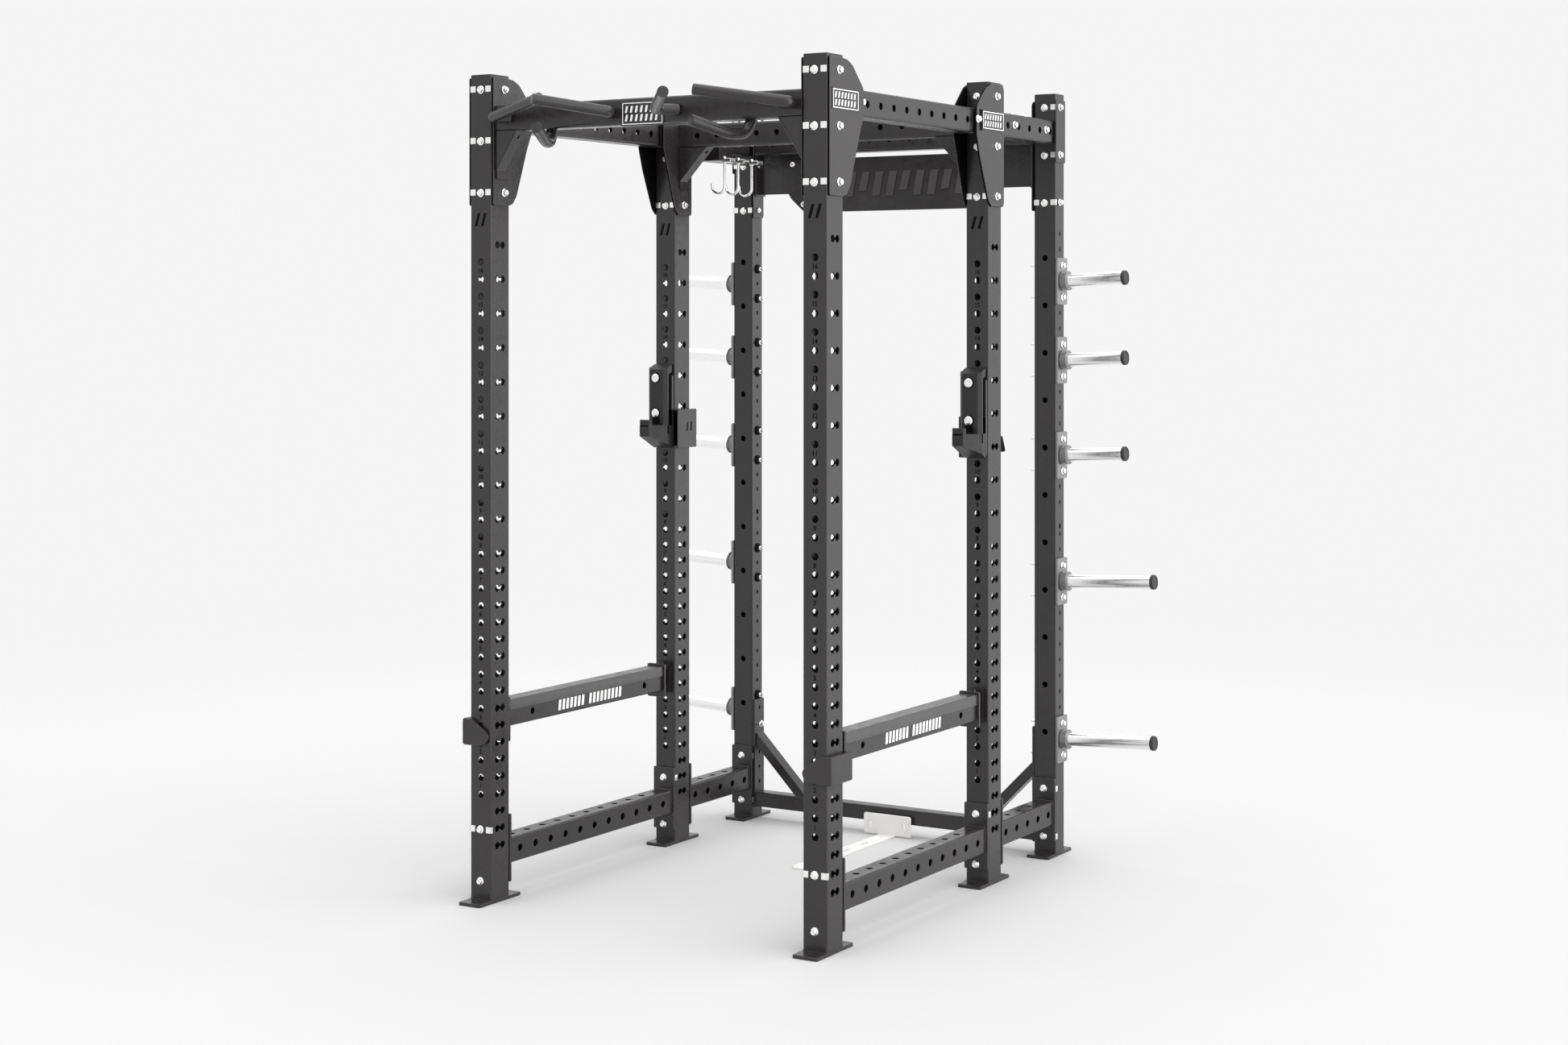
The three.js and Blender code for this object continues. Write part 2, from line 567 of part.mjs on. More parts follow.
// ---- storage hooks between the left middle and rear uprights -----------
const RAIL_IN = -(ROW_X - RAIL_W / 2) + GAP;
const HOOK_X = -470;
const HOOK_R = 25;
const HOOK_Z = 2252;
function hookRack() {
  const y0 = MID_BACK + 52;
  const y1 = REAR_Y - 45;
  const shelf = plateZ([
    [RAIL_IN, y0], [HOOK_X + 8, y0], [HOOK_X + 20, y0 + 12], [HOOK_X + 20, REAR_Y - 22],
    [HOOK_X + 8, REAR_Y - 10], [RAIL_IN + 16, REAR_Y - 10], [RAIL_IN + 16, y1], [RAIL_IN, y1],
  ], HOOK_Z, HOOK_Z + 6);
  const back = box(RAIL_IN, RAIL_IN + 6, y0, y0 + 208, HOOK_Z, TOP_Z + 56);
  return sum([shelf, back]);
}
add('hook_rack', hookRack(), coat);

for (let i = 0; i < 3; i += 1) {
  const y = MID_BACK + 109 + i * 86;
  const pts = [];
  pts.push([HOOK_X, y, HOOK_Z - GAP]);
  pts.push([HOOK_X, y, HOOK_Z - 81]);
  for (let k = 1; k <= 6; k += 1) {
    const a = (k * Math.PI) / 7;
    pts.push([HOOK_X - HOOK_R + HOOK_R * Math.cos(a), y, HOOK_Z - 81 - HOOK_R * Math.sin(a)]);
  }
  pts.push([HOOK_X - 2 * HOOK_R - 2, y, HOOK_Z - 76]);
  add(`storage_hook_${i + 1}`, bar(pts, 4.5, 6), zinc);
}

// ---- floor tie bracket --------------------------------------------------
const TIE_Y = REAR_Y - 10;
const tiePlate = plateY(cut(-89, 89, 5, 73, 8), TIE_Y, TIE_Y + 6);
const tieSlots = [];
for (const x of [-64, 64]) {
  tieSlots.push(plateY([[x - 5, 15], [x + 5, 15], [x + 5, 48], [x - 5, 48]], TIE_Y - 1, TIE_Y + 7));
}
const tieStrip = plateZ([
  [-30, TIE_Y + 6], [-30, TIE_Y - 560], [-20, TIE_Y - 575],
  [20, TIE_Y - 575], [30, TIE_Y - 560], [30, TIE_Y + 6],
], 0, 6);
add('floor_tie', sum([less(tiePlate, tieSlots), tieStrip]), pale);

// centre the footprint on the origin
const bounds = new THREE.Box3().setFromObject(group);
const shift = -(bounds.min.y + bounds.max.y) / 2;
group.children.forEach((mesh) => mesh.geometry.translate(0, shift, 0));

export default group;
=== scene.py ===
"""Power cage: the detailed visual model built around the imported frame."""

import math

import bmesh
import bpy
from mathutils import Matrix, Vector
from mathutils.geometry import tessellate_polygon


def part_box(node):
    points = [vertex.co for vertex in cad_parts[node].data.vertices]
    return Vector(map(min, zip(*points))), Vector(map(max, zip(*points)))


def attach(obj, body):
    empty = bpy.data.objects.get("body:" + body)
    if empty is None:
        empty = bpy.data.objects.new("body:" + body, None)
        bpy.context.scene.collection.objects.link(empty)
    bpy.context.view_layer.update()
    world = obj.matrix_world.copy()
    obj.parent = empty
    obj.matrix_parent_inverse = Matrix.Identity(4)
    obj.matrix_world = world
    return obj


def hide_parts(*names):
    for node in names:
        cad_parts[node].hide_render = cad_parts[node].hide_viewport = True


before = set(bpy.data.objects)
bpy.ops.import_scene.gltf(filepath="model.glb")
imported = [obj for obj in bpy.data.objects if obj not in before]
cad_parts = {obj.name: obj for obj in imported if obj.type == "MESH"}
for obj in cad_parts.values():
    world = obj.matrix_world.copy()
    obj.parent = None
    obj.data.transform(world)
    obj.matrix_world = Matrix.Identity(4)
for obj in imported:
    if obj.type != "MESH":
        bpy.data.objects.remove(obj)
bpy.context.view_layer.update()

# ---- sizes, in millimetres; y is 0 at the front face of the front uprights ----
MM = 0.001
FOOT_OVER = 55
SHIFT_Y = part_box("upright_front_right")[0].y / MM + FOOT_OVER
ROW_X = 574.4
HALF_W = 38.1
IN_X = ROW_X - HALF_W
OUT_X = ROW_X + HALF_W
UP_D = 88.9
REAR_D = 66
MID_Y = 971
REAR_Y = 1450
MID_BACK = MID_Y + UP_D
REAR_BACK = REAR_Y + REAR_D
REAR_CY = REAR_Y + REAR_D / 2
TOP = 2449
FOOT_T = 10
WALL = 4
CORNER = 5
RAIL_CORNER = 9
PITCH = 50.8
NUM_Z = 320.8
NUM_COUNT = 16
HOLE_R = 10.6
RAIL_HALF = 33
RAIL_H = 76.2
BASE_Z = 103
TOP_Z = 2288
TOP_CZ = TOP_Z + RAIL_H / 2
FRONT_Z = TOP_Z - 7
BASE_CZ = BASE_Z + RAIL_H / 2
RAIL_PITCH = 76.2
GAP = 0.4
SHADE_GAP_T = 4.2
GUSSET_T = 2.8
PLATE_OUT = 7.4
SPAN = IN_X - 2 * GAP - (SHADE_GAP_T + GUSSET_T)
BOLT_TOP = (2407, 2254.5, 2101.5)
BOLT_LOW = (218, 65)
LOW_STRAP_Z = 218
BOLT_SEAT = 9.6
NUT_SEAT = 9.4
SIDE_BOLT_Y = {"front": 54, "middle": 1014, "rear": 1473}
SIDE_T = 3.5
FLANGE_T = 9
FLANGE_Z = (50, 252)
BEAM_HALF = 25
BEAM_Z = (43, 93)
BAR_Y0 = UP_D + 2
BAR_Y1 = MID_Y - 46
BAR_HALF = 25
BAR_Z0 = 510
BAR_Z1 = 585
PIVOT_Y = MID_Y - 26
HORN_Z = (374.6, 882.6, 1289, 1593.8, 1847.8)
HORN_OUT = (327, 327, 229, 229, 229)
HORN_TILT = math.tan(math.radians(2.6))
HORN_R = 22
HOOK_X = -470
HOOK_Z = 2252
HOOK_R = 25
HOOK_Y = [MID_BACK + 109 + i * 86 for i in range(3)]
SMOOTH_BELOW = math.radians(32)

COAT, DARK, ZINC, GREY, PRINT, MARK = range(6)


# ---- outlines --------------------------------------------------------------------
def circle(cx, cy, r, n=20):
    """Points round a centre."""
    return [
        (cx + r * math.cos(2 * math.pi * i / n), cy + r * math.sin(2 * math.pi * i / n))
        for i in range(n)
    ]


def oval(cx, cy, half_x, half_y, n=20):
    """Points round an ellipse."""
    return [(cx + half_x * x, cy + half_y * y) for x, y in circle(0, 0, 1, n)]


def rect(x0, x1, y0, y1):
    """The corners of a rectangle."""
    return [(x0, y0), (x1, y0), (x1, y1), (x0, y1)]


def paired_hole(cy, cz):
    """Two round holes joined by a narrow neck."""
    r, half, neck, n = 10.5, 12.7, 3.2, 14
    start = math.asin(neck / r)
    sweep = 2 * (math.pi - start)
    side = [math.pi + start + sweep * i / n for i in range(n + 1)]
    right = [(cy + half + r * math.cos(a), cz + r * math.sin(a)) for a in side]
    left = [(2 * cy - y, 2 * cz - z) for y, z in right]
    return right + left


def area(loop):
    """The signed area, positive for a counter-clockwise loop."""
    return sum(a[0] * b[1] - b[0] * a[1] for a, b in zip(loop, loop[1:] + loop[:1])) / 2


def counter(loop):
    """The loop, counter-clockwise."""
    return list(loop) if area(loop) > 0 else list(reversed(loop))


def offset(loop, d):
    """A counter-clockwise loop moved inward by d."""
    out = []
    for i, p in enumerate(loop):
        before = Vector(p) - Vector(loop[i - 1])
        after = Vector(loop[(i + 1) % len(loop)]) - Vector(p)
        a = Vector((-before.y, before.x)).normalized()
        b = Vector((-after.y, after.x)).normalized()
        out.append(tuple(Vector(p) + (a + b) * (d / max(0.35, 1 + a.dot(b)))))
    return out


def soften(loop, r, n=4):
    """A loop with its corners rounded."""
    out = []
    for i, p in enumerate(loop):
        here = Vector(p)
        a = Vector(loop[i - 1]) - here
        b = Vector(loop[(i + 1) % len(loop)]) - here
        t = min(r, 0.45 * a.length, 0.45 * b.length)
        start = here + a.normalized() * t
        end = here + b.normalized() * t
        for k in range(n + 1):
            s = k / n
            out.append(tuple(start * (1 - s) ** 2 + here * 2 * s * (1 - s) + end * s**2))
    return out


# ---- shapes ----------------------------------------------------------------------
class Shape:
    """Points and faces of one piece, in millimetres."""

    def __init__(self):
        self.points = []
        self.faces = []
        self.slots = []

    def add(self, points, faces, slot=COAT):
        """Adds points and the faces between them, all in one finish."""
        base = len(self.points)
        self.points += [tuple(p) for p in points]
        self.faces += [[base + i for i in f] for f in faces]
        self.slots += [slot] * len(faces)
        return self

    def join(self, other, move=(0, 0, 0), mirror=False):
        """Adds another shape, moved, or mirrored left to right."""
        k = -1 if mirror else 1
        base = len(self.points)
        dx, dy, dz = move
        self.points += [(k * x + dx, y + dy, z + dz) for x, y, z in other.points]
        self.faces += [[base + i for i in f] for f in other.faces]
        self.slots += other.slots
        return self


def panel(shape, outline, holes, depth, place, rim=0.7, edge=0.0, both=False, slot=COAT):
    """A flat plate with holes: place(u, v, w) puts it, w running from its face into it."""
    loops = [counter(outline)] + [counter(h) for h in holes]
    cut = [edge] + [-rim] * len(holes)
    tight = [offset(p, c) if c else p for p, c in zip(loops, cut)]
    step = max(edge, rim if holes else 0)
    levels = [(0, tight), (step, loops), (depth, loops)] if step else [(0, loops), (depth, loops)]
    if both and step:
        levels = [(0, tight), (step, loops), (depth - step, loops), (depth, tight)]
    count = sum(len(p) for p in loops)
    points = [place(u, v, w) for w, rings in levels for ring in rings for u, v in ring]
    flat = [[Vector((u, v, 0)) for u, v in ring] for ring in tight]
    faces = []
    for a, b, c in tessellate_polygon(flat):
        faces.append((a, b, c))
        last = (len(levels) - 1) * count
        faces.append((last + c, last + b, last + a))
    for level in range(len(levels) - 1):
        base = level * count
        for ring in loops:
            n = len(ring)
            for i in range(n):
                a = base + i
                b = base + (i + 1) % n
                faces.append((a, b, b + count, a + count))
            base += n
    return shape.add(points, faces, slot)


def block(shape, x, y, z, edge=0.8, slot=COAT):
    """A box with softened edges."""
    outline = soften(rect(x[0], x[1], z[0], z[1]), edge, 2)
    place = lambda u, v, w: (u, y[0] + w, v)
    return panel(shape, outline, [], y[1] - y[0], place, edge=edge, both=True, slot=slot)


def tube(shape, axis, lo, hi, holes=None, corner=CORNER):
    """A square tube along an axis. holes: side to loops of (across, along) points."""
    holes = holes or {}
    along = "xyz".index(axis)
    a, b = [i for i in range(3) if i != along]
    length = hi[along] - lo[along]

    def put(pa, pb, pl):
        p = [0, 0, 0]
        p[a], p[b], p[along] = pa, pb, pl
        return tuple(p)

    sides = {
        "a-": (b, lambda u, v, w: put(lo[a] + w, u, v)),
        "a+": (b, lambda u, v, w: put(hi[a] - w, u, v)),
        "b-": (a, lambda u, v, w: put(u, lo[b] + w, v)),
        "b+": (a, lambda u, v, w: put(u, hi[b] - w, v)),
    }
    for side, (cross, place) in sides.items():
        outline = rect(lo[cross] + corner, hi[cross] - corner, lo[along], hi[along])
        panel(shape, outline, holes.get(side, []), WALL, place)
    steps = 5
    for ka, kb in ((-1, -1), (-1, 1), (1, -1), (1, 1)):
        ca = lo[a] + corner if ka < 0 else hi[a] - corner
        cb = lo[b] + corner if kb < 0 else hi[b] - corner
        turn = [math.pi / 2 * i / steps for i in range(steps + 1)]
        loop = [(ca + ka * corner * math.cos(t), cb + kb * corner * math.sin(t)) for t in turn]
        loop += [(ca, cb + kb * (corner - WALL)), (ca + ka * (corner - WALL), cb)]
        panel(shape, loop, [], length, lambda u, v, w: put(u, v, lo[along] + w))
    return shape


def rod(shape, path, radius, sides=24, chamfer=1.0):
    """A round bar along a path, with softened ends."""
    path = [Vector(p) for p in path]
    dirs = [(b - a).normalized() for a, b in zip(path, path[1:])]
    side = dirs[0].orthogonal().normalized()
    points = []
    stations = []
    for i, p in enumerate(path):
        into = dirs[max(0, i - 1)]
        out = dirs[min(len(dirs) - 1, i)]
        mid = (into + out).normalized()
        side = (side - mid * side.dot(mid)).normalized()
        up = mid.cross(side)
        grow = 1 / max(0.6, mid.dot(into))
        stations.append((p, side.copy(), up, radius * grow, mid))
    first, last = stations[0], stations[-1]
    ends = (first[0] + first[4] * chamfer, last[0] - last[4] * chamfer)
    rings = [(first[0], *first[1:3], radius - chamfer), (ends[0], *first[1:3], radius)]
    rings += [s[:4] for s in stations[1:-1]]
    rings += [(ends[1], *last[1:3], radius), (last[0], *last[1:3], radius - chamfer)]
    for p, u, v, r in rings:
        for k in range(sides):
            t = 2 * math.pi * k / sides
            points.append(p + u * (r * math.cos(t)) + v * (r * math.sin(t)))
    faces = []
    for i in range(len(rings) - 1):
        for k in range(sides):
            m = (k + 1) % sides
            faces.append((i * sides + k, i * sides + m, (i + 1) * sides + m, (i + 1) * sides + k))
    faces.append(list(range(sides)))
    faces.append(list(range((len(rings) - 1) * sides, len(rings) * sides)))
    return shape.add(points, faces)


def bent(points, radius, n=7):
    """A path with its inner corners rounded."""
    pts = [Vector(p) for p in points]
    out = [pts[0]]
    for before, here, after in zip(pts, pts[1:], pts[2:]):
        a = before - here
        b = after - here
        t = min(radius, 0.45 * a.length, 0.45 * b.length)
        start = here + a.normalized() * t
        end = here + b.normalized() * t
        for k in range(n + 1):
            s = k / n
            out.append(start * (1 - s) ** 2 + here * 2 * s * (1 - s) + end * s**2)
    return out + [pts[-1]]


def turned(shape, profile, at, normal, sides=24, slot=COAT, roll=0.0):
    """A turned piece: profile is (radius, height) from its foot to its tip."""
    n = Vector(normal).normalized()
    u = n.orthogonal().normalized()
    v = n.cross(u)
    points = []
    for r, h in profile:
        for k in range(sides):
            t = roll + 2 * math.pi * k / sides
            points.append(Vector(at) + n * h + u * (r * math.cos(t)) + v * (r * math.sin(t)))
    faces = []
    for i in range(len(profile) - 1):
        for k in range(sides):
            m = (k + 1) % sides
            faces.append((i * sides + k, i * sides + m, (i + 1) * sides + m, (i + 1) * sides + k))
    faces.append(list(range(sides)))
    faces.append(list(range((len(profile) - 1) * sides, len(profile) * sides)))
    return shape.add(points, faces, slot)


def bolt(shape, at, normal, size=1.0):
    """A flanged hex head with a domed washer."""
    s = size
    washer = [(12 * s, -0.3), (12 * s, 1.6 * s), (11.2 * s, 2.4 * s), (8.6 * s, 3.4 * s)]
    turned(shape, washer, at, normal, 24, ZINC)
    head = [(9.6, 3), (9.6, 8.6), (8.3, 9.9), (6.2, 10.1), (5.6, 9.4)]
    turned(shape, [(r * s, h * s) for r, h in head], at, normal, 6, ZINC, roll=0.3)
    return shape


def nut(shape, at, normal, size=1.0):
    """A nut on its washer, with the bolt's end."""
    s = size
    turned(shape, [(12 * s, -0.3), (12 * s, 2 * s), (11 * s, 2.6 * s)], at, normal, 24, ZINC)
    hexagon = [(9.8 * s, 2 * s), (9.8 * s, 9 * s), (8.6 * s, 10.4 * s)]
    turned(shape, hexagon, at, normal, 6, ZINC, roll=0.1)
    turned(shape, [(5.6 * s, 8 * s), (5.6 * s, 13 * s), (4.8 * s, 14 * s)], at, normal, 16, ZINC)
    return shape


def button_bolt(shape, at, normal, r=14):
    """A round low head with a hex socket."""
    profile = [(r, -0.2), (r, 2), (r * 0.9, 3.6), (r * 0.62, 5.2), (r * 0.42, 5.6), (r * 0.4, 3.2)]
    return turned(shape, profile, at, normal, 28, ZINC)


# ---- materials -------------------------------------------------------------------
def new_material(name, color, rough, metal, grain, bump, patch=0.1, rough_patch=0.08, spec=0.5):
    """A procedural finish: colour patches, roughness patches and a fine surface grain."""
    mat = bpy.data.materials.new(name)
    mat.use_nodes = True
    nodes = mat.node_tree.nodes
    links = mat.node_tree.links
    shader = nodes["Principled BSDF"]
    shader.inputs["Metallic"].default_value = metal
    shader.inputs["Specular IOR Level"].default_value = spec
    place = nodes.new("ShaderNodeTexCoord")

    def noise(scale, detail=3.0, rough_in=0.55):
        n = nodes.new("ShaderNodeTexNoise")
        n.inputs["Scale"].default_value = scale
        n.inputs["Detail"].default_value = detail
        n.inputs["Roughness"].default_value = rough_in
        links.new(place.outputs["Object"], n.inputs["Vector"])
        return n

    broad = noise(5.5)
    ramp = nodes.new("ShaderNodeValToRGB")
    low = [c * (1 - patch) for c in color]
    high = [min(1.0, c * (1 + patch)) for c in color]
    ramp.color_ramp.elements[0].position = 0.3
    ramp.color_ramp.elements[0].color = (*low, 1)
    ramp.color_ramp.elements[1].position = 0.7
    ramp.color_ramp.elements[1].color = (*high, 1)
    links.new(broad.outputs["Fac"], ramp.inputs["Fac"])
    links.new(ramp.outputs["Color"], shader.inputs["Base Color"])
    fine = noise(38.0, 4.0)
    spread = nodes.new("ShaderNodeMapRange")
    spread.inputs["From Min"].default_value = 0.3
    spread.inputs["From Max"].default_value = 0.7
    spread.inputs["To Min"].default_value = max(0.02, rough - rough_patch)
    spread.inputs["To Max"].default_value = rough + rough_patch
    links.new(fine.outputs["Fac"], spread.inputs["Value"])
    links.new(spread.outputs["Result"], shader.inputs["Roughness"])
    surface = noise(grain, 2.0, 0.6)
    relief = nodes.new("ShaderNodeBump")
    relief.inputs["Strength"].default_value = bump
    relief.inputs["Distance"].default_value = 0.0004
    links.new(surface.outputs["Fac"], relief.inputs["Height"])
    links.new(relief.outputs["Normal"], shader.inputs["Normal"])
    return mat


coat = new_material("satin_powder_coat", (0.0195, 0.0172, 0.0182), 0.28, 0.0, 900, 0.1)
# Flat black for print and black washers, and for painted shade in gaps, slots and cut-outs.
dark = new_material("black_print_and_painted_shade", (0.003, 0.003, 0.003), 0.7, 0.0, 500, 0.1, spec=0.06)
zinc = new_material("bright_zinc", (0.90, 0.90, 0.89), 0.28, 1.0, 700, 0.05, 0.03)
grey = new_material("grey_plate_coat", (0.21, 0.206, 0.208), 0.38, 0.5, 800, 0.12, 0.06)
printed = new_material("white_print", (0.82, 0.82, 0.81), 0.5, 0.0, 600, 0.05, 0.03)
mark = new_material("raised_mark_coat", (0.046, 0.042, 0.044), 0.5, 0.0, 900, 0.2)
chrome = new_material("bright_chrome", (0.92, 0.92, 0.93), 0.24, 1.0, 260, 0.02, 0.02, 0.04)
plastic = new_material("moulded_black_plastic", (0.011, 0.0102, 0.0108), 0.42, 0.0, 1400, 0.25, spec=0.4)
# The safety strip's black plastic, lightened to paint the light on its top.
strip = new_material("safety_strip_plastic_painted_top_light", (0.045, 0.043, 0.044), 0.3, 0.0, 1200, 0.15)
rubber = new_material("end_cap_rubber", (0.018, 0.0172, 0.018), 0.6, 0.0, 1100, 0.35)
pale = new_material("pale_tie_coat", (0.82, 0.81, 0.79), 0.4, 0.1, 800, 0.12, 0.04)

FINISH = [coat, dark, zinc, grey, printed, mark]


def make(name, shape, body="frame", replaces=(), slot="powder_coat", finish=None):
    """Turns a shape into a mesh object that rides on a body."""
    mesh = bpy.data.meshes.new(name)
    verts = [(x * MM, (y + SHIFT_Y) * MM, z * MM) for x, y, z in shape.points]
    mesh.from_pydata(verts, [], shape.faces)
    mesh.update()
    used = FINISH if finish is None else finish
    for mat in used:
        mesh.materials.append(mat)
    mesh.polygons.foreach_set("material_index", shape.slots)
    bm = bmesh.new()
    bm.from_mesh(mesh)
    bmesh.ops.remove_doubles(bm, verts=bm.verts, dist=0.00001)
    bmesh.ops.recalc_face_normals(bm, faces=bm.faces)
    bm.to_mesh(mesh)
    bm.free()
    mesh.polygons.foreach_set("use_smooth", [True] * len(mesh.polygons))
    mesh.set_sharp_from_angle(angle=SMOOTH_BELOW)
    obj = bpy.data.objects.new(name, mesh)
    bpy.context.scene.collection.objects.link(obj)
    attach(obj, body)
    if replaces:
        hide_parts(*replaces)
    return obj


def both_sides(name, shape, **more):
    """The right-hand piece and its mirror image, each in place of its CAD node."""
    left = Shape().join(shape, mirror=True)
    for side, made in (("right", shape), ("left", left)):
        extra = dict(more)
        if "body" in extra:
            extra["body"] = f"{extra['body']}_{side}"
        make(f"{name}_{side}_look", made, replaces=[f"{name}_{side}"], **extra)


# ---- numerals --------------------------------------------------------------------
def numeral(text):
    """A flat solid numeral, 14 mm tall, centred on the origin, facing -Y."""
    curve = bpy.data.curves.new("numeral", "FONT")
    curve.body = text
    curve.size = 19
    curve.extrude = 0.12
    curve.align_x = "CENTER"
    curve.align_y = "CENTER"
    curve.resolution_u = 3
    curve.offset = 0.35
    obj = bpy.data.objects.new("numeral", curve)
    bpy.context.scene.collection.objects.link(obj)
    bpy.context.view_layer.update()
    mesh = bpy.data.meshes.new_from_object(obj)
    shape = Shape()
    points = [(v.co.x, -v.co.z, v.co.y) for v in mesh.vertices]
    shape.add(points, [list(p.vertices) for p in mesh.polygons], DARK)
    bpy.data.objects.remove(obj)
    bpy.data.curves.remove(curve)
    bpy.data.meshes.remove(mesh)
    return shape


NUMERALS = [numeral(str(n)) for n in range(1, NUM_COUNT + 1)]


# ---- uprights --------------------------------------------------------------------
def number_z(n):
    """The height of the hole just below numeral n."""
    return NUM_Z + (n - 1) * 2 * PITCH


def foot(shape, y0, depth):
    """The foot plate and the weld bead round the tube."""
    outline = soften(rect(IN_X - 1, OUT_X + 1, y0 - FOOT_OVER, y0 + depth + FOOT_OVER), 5)
    holes = [circle(ROW_X, y0 - 30, 7), circle(ROW_X, y0 + depth + 30, 7)]
    panel(shape, outline, holes, FOOT_T, lambda u, v, w: (u, v, FOOT_T - w), edge=1, rim=1, both=True)
    ring = soften(rect(IN_X - 0.5, OUT_X + 0.5, y0 - 0.5, y0 + depth + 0.5), 5, 3)
    bead = [(x, y, FOOT_T) for x, y in ring + ring[:2]]
    rod(shape, bead, 1.8, 8, 0.2)


def cap(shape, y0, depth):
    """The moulded cap that closes the top."""
    outline = soften(rect(IN_X + 0.6, OUT_X - 0.6, y0 + 0.6, y0 + depth - 0.6), CORNER)
    panel(shape, outline, [], 6, lambda u, v, w: (u, v, TOP + 1.2 - w), edge=1.2)


def two_bars(shape, cx, cz, y, scale):
    """A generic mark: two slanted bars."""
    for k in (-1, 1):
        bar = [(-9, -17), (-1, -17), (9, 17), (1, 17)]
        loop = [(cx + scale * (k * 10 + px), cz + scale * pz) for px, pz in bar]
        panel(shape, loop, [], 0.5, lambda u, v, w: (u, y - 0.3 + w, v), slot=DARK)


def cage_upright(y0):
    """A tube with numbered front holes and paired side holes, on its foot."""
    mid = y0 + UP_D / 2
    face = []
    side = []
    for n in range(1, NUM_COUNT + 1):
        face.append(circle(ROW_X, number_z(n), HOLE_R, 24))
        face.append(circle(ROW_X, number_z(n) + PITCH, HOLE_R, 24))
        if n > 7:
            side.append(paired_hole(mid, number_z(n)))
    for k in range(-3, 14):
        side.append(paired_hole(mid, NUM_Z + k * PITCH))
    side.append(paired_hole(mid, 1946.4))
    shape = Shape()
    holes = {"b-": face, "b+": face, "a-": side, "a+": side}
    tube(shape, "z", (IN_X, y0, FOOT_T), (OUT_X, y0 + UP_D, TOP), holes)
    foot(shape, y0, UP_D)
    cap(shape, y0, UP_D)
    return shape


def face_marks(x, y0):
    """Numerals and the generic mark on a front face."""
    shape = Shape()
    for n in range(1, NUM_COUNT + 1):
        shape.join(NUMERALS[n - 1], (x, y0 - 0.1, number_z(n) + PITCH / 2))
    two_bars(shape, x, 2021, y0, 1.15)
    return shape


def rear_upright():
    """The shallower tube with wide-set front holes and small side slots."""
    face = [circle(ROW_X, 1617.4 - k * 152.4, 9.5) for k in range(-2, 9)]
    side = [oval(REAR_CY, 1695.5 - k * PITCH, 4.6, 7.4, 14) for k in range(-6, 27) if k != 12]
    side.append(oval(REAR_CY, 1059, 6.5, 9, 16))
    shape = Shape()
    holes = {"b-": face, "b+": face, "a-": side, "a+": side}
    tube(shape, "z", (IN_X, REAR_Y, FOOT_T), (OUT_X, REAR_BACK, TOP), holes)
    foot(shape, REAR_Y, REAR_D)
    cap(shape, REAR_Y, REAR_D)
    return shape


def top_clip(shape, x, y, z, k):
    """A small bright plate beside a top bolt."""
    block(shape, sorted((x, x + k * 19)), (y - 1.2, y + 0.4), (z - 9, z + 9), 0.4, ZINC)


def corner_strap(shape, x_edge, y, z, k):
    """A bright strap that wraps a front corner."""
    top_clip(shape, x_edge + k * 1.2, y, z, -k)
    x = sorted((x_edge - k * 0.3, x_edge + k * 1.3))
    block(shape, x, (y - 1.2, y + 8), (z - 9, z + 9), 0.4, ZINC)


def side_strap(shape, x_edge, y, z, k):
    """The part of a strap that shows on an upright's side."""
    block(shape, sorted((x_edge - k * 0.3, x_edge + k * 1.3)), (y, y + 13), (z - 9, z + 9), 0.4, ZINC)


def front_bolts(y0, y_low, straps_at, clips_at):
    """Bolts, clips and straps on an upright's front face."""
    shape = Shape()
    for z in BOLT_TOP:
        bolt(shape, (ROW_X - 1.5, y0, z - 2), (0, -1, 0))
    for z in clips_at:
        top_clip(shape, ROW_X + 18.5, y0, z, 1)
        top_clip(shape, ROW_X - 18.5, y0, z, -1)
    for z in BOLT_LOW:
        bolt(shape, (ROW_X, y_low, z), (0, -1, 0))
    strap = corner_strap if y_low == y0 else side_strap
    for z in straps_at:
        strap(shape, OUT_X, y0, z, 1)
        strap(shape, IN_X, y0, z, -1)
    return shape


def side_bolts(y, x_out=OUT_X + PLATE_OUT):
    """Bolts through the top side plates, heads outside and nuts inside."""
    shape = Shape()
    for z in BOLT_TOP:
        bolt(shape, (x_out, y, z), (1, 0, 0))
        nut(shape, (2 * ROW_X - x_out, y, z), (-1, 0, 0))
    return shape


both_sides("upright_front", cage_upright(0))
both_sides("upright_middle", cage_upright(MID_Y))
both_sides("upright_rear", rear_upright())
for label, k in (("right", 1), ("left", -1)):
    make(f"face_marks_front_{label}", face_marks(k * ROW_X, 0), slot=None)
    make(f"face_marks_middle_{label}", face_marks(k * ROW_X, MID_Y), slot=None)


def one_each(name, shape, slot="zinc_steel"):
    """A group of fasteners and its mirror image."""
    make(f"{name}_right", shape, slot=slot)
    make(f"{name}_left", Shape().join(shape, mirror=True), slot=slot)


front_set = front_bolts(0, 0, (LOW_STRAP_Z,), BOLT_TOP).join(side_bolts(SIDE_BOLT_Y["front"]))
one_each("bolts_front", front_set)
middle_set = front_bolts(MID_Y, MID_Y - BOLT_SEAT, (LOW_STRAP_Z,), BOLT_TOP[2:])
middle_set.join(side_bolts(SIDE_BOLT_Y["middle"]))
one_each("bolts_middle", middle_set)
rear_set = front_bolts(REAR_Y, REAR_Y - BOLT_SEAT, BOLT_LOW, ())
rear_set.join(side_bolts(SIDE_BOLT_Y["rear"], OUT_X + 4))
for clip_z in BOLT_TOP:
    corner_strap(rear_set, OUT_X, REAR_Y, clip_z, 1)
corner_strap(rear_set, IN_X, REAR_Y, BOLT_TOP[2], -1)
one_each("bolts_rear", rear_set)


def back_nuts(y, z_list):
    """Nuts on an upright's back face."""
    shape = Shape()
    for z in z_list:
        nut(shape, (ROW_X, y, z), (0, 1, 0))
    return shape


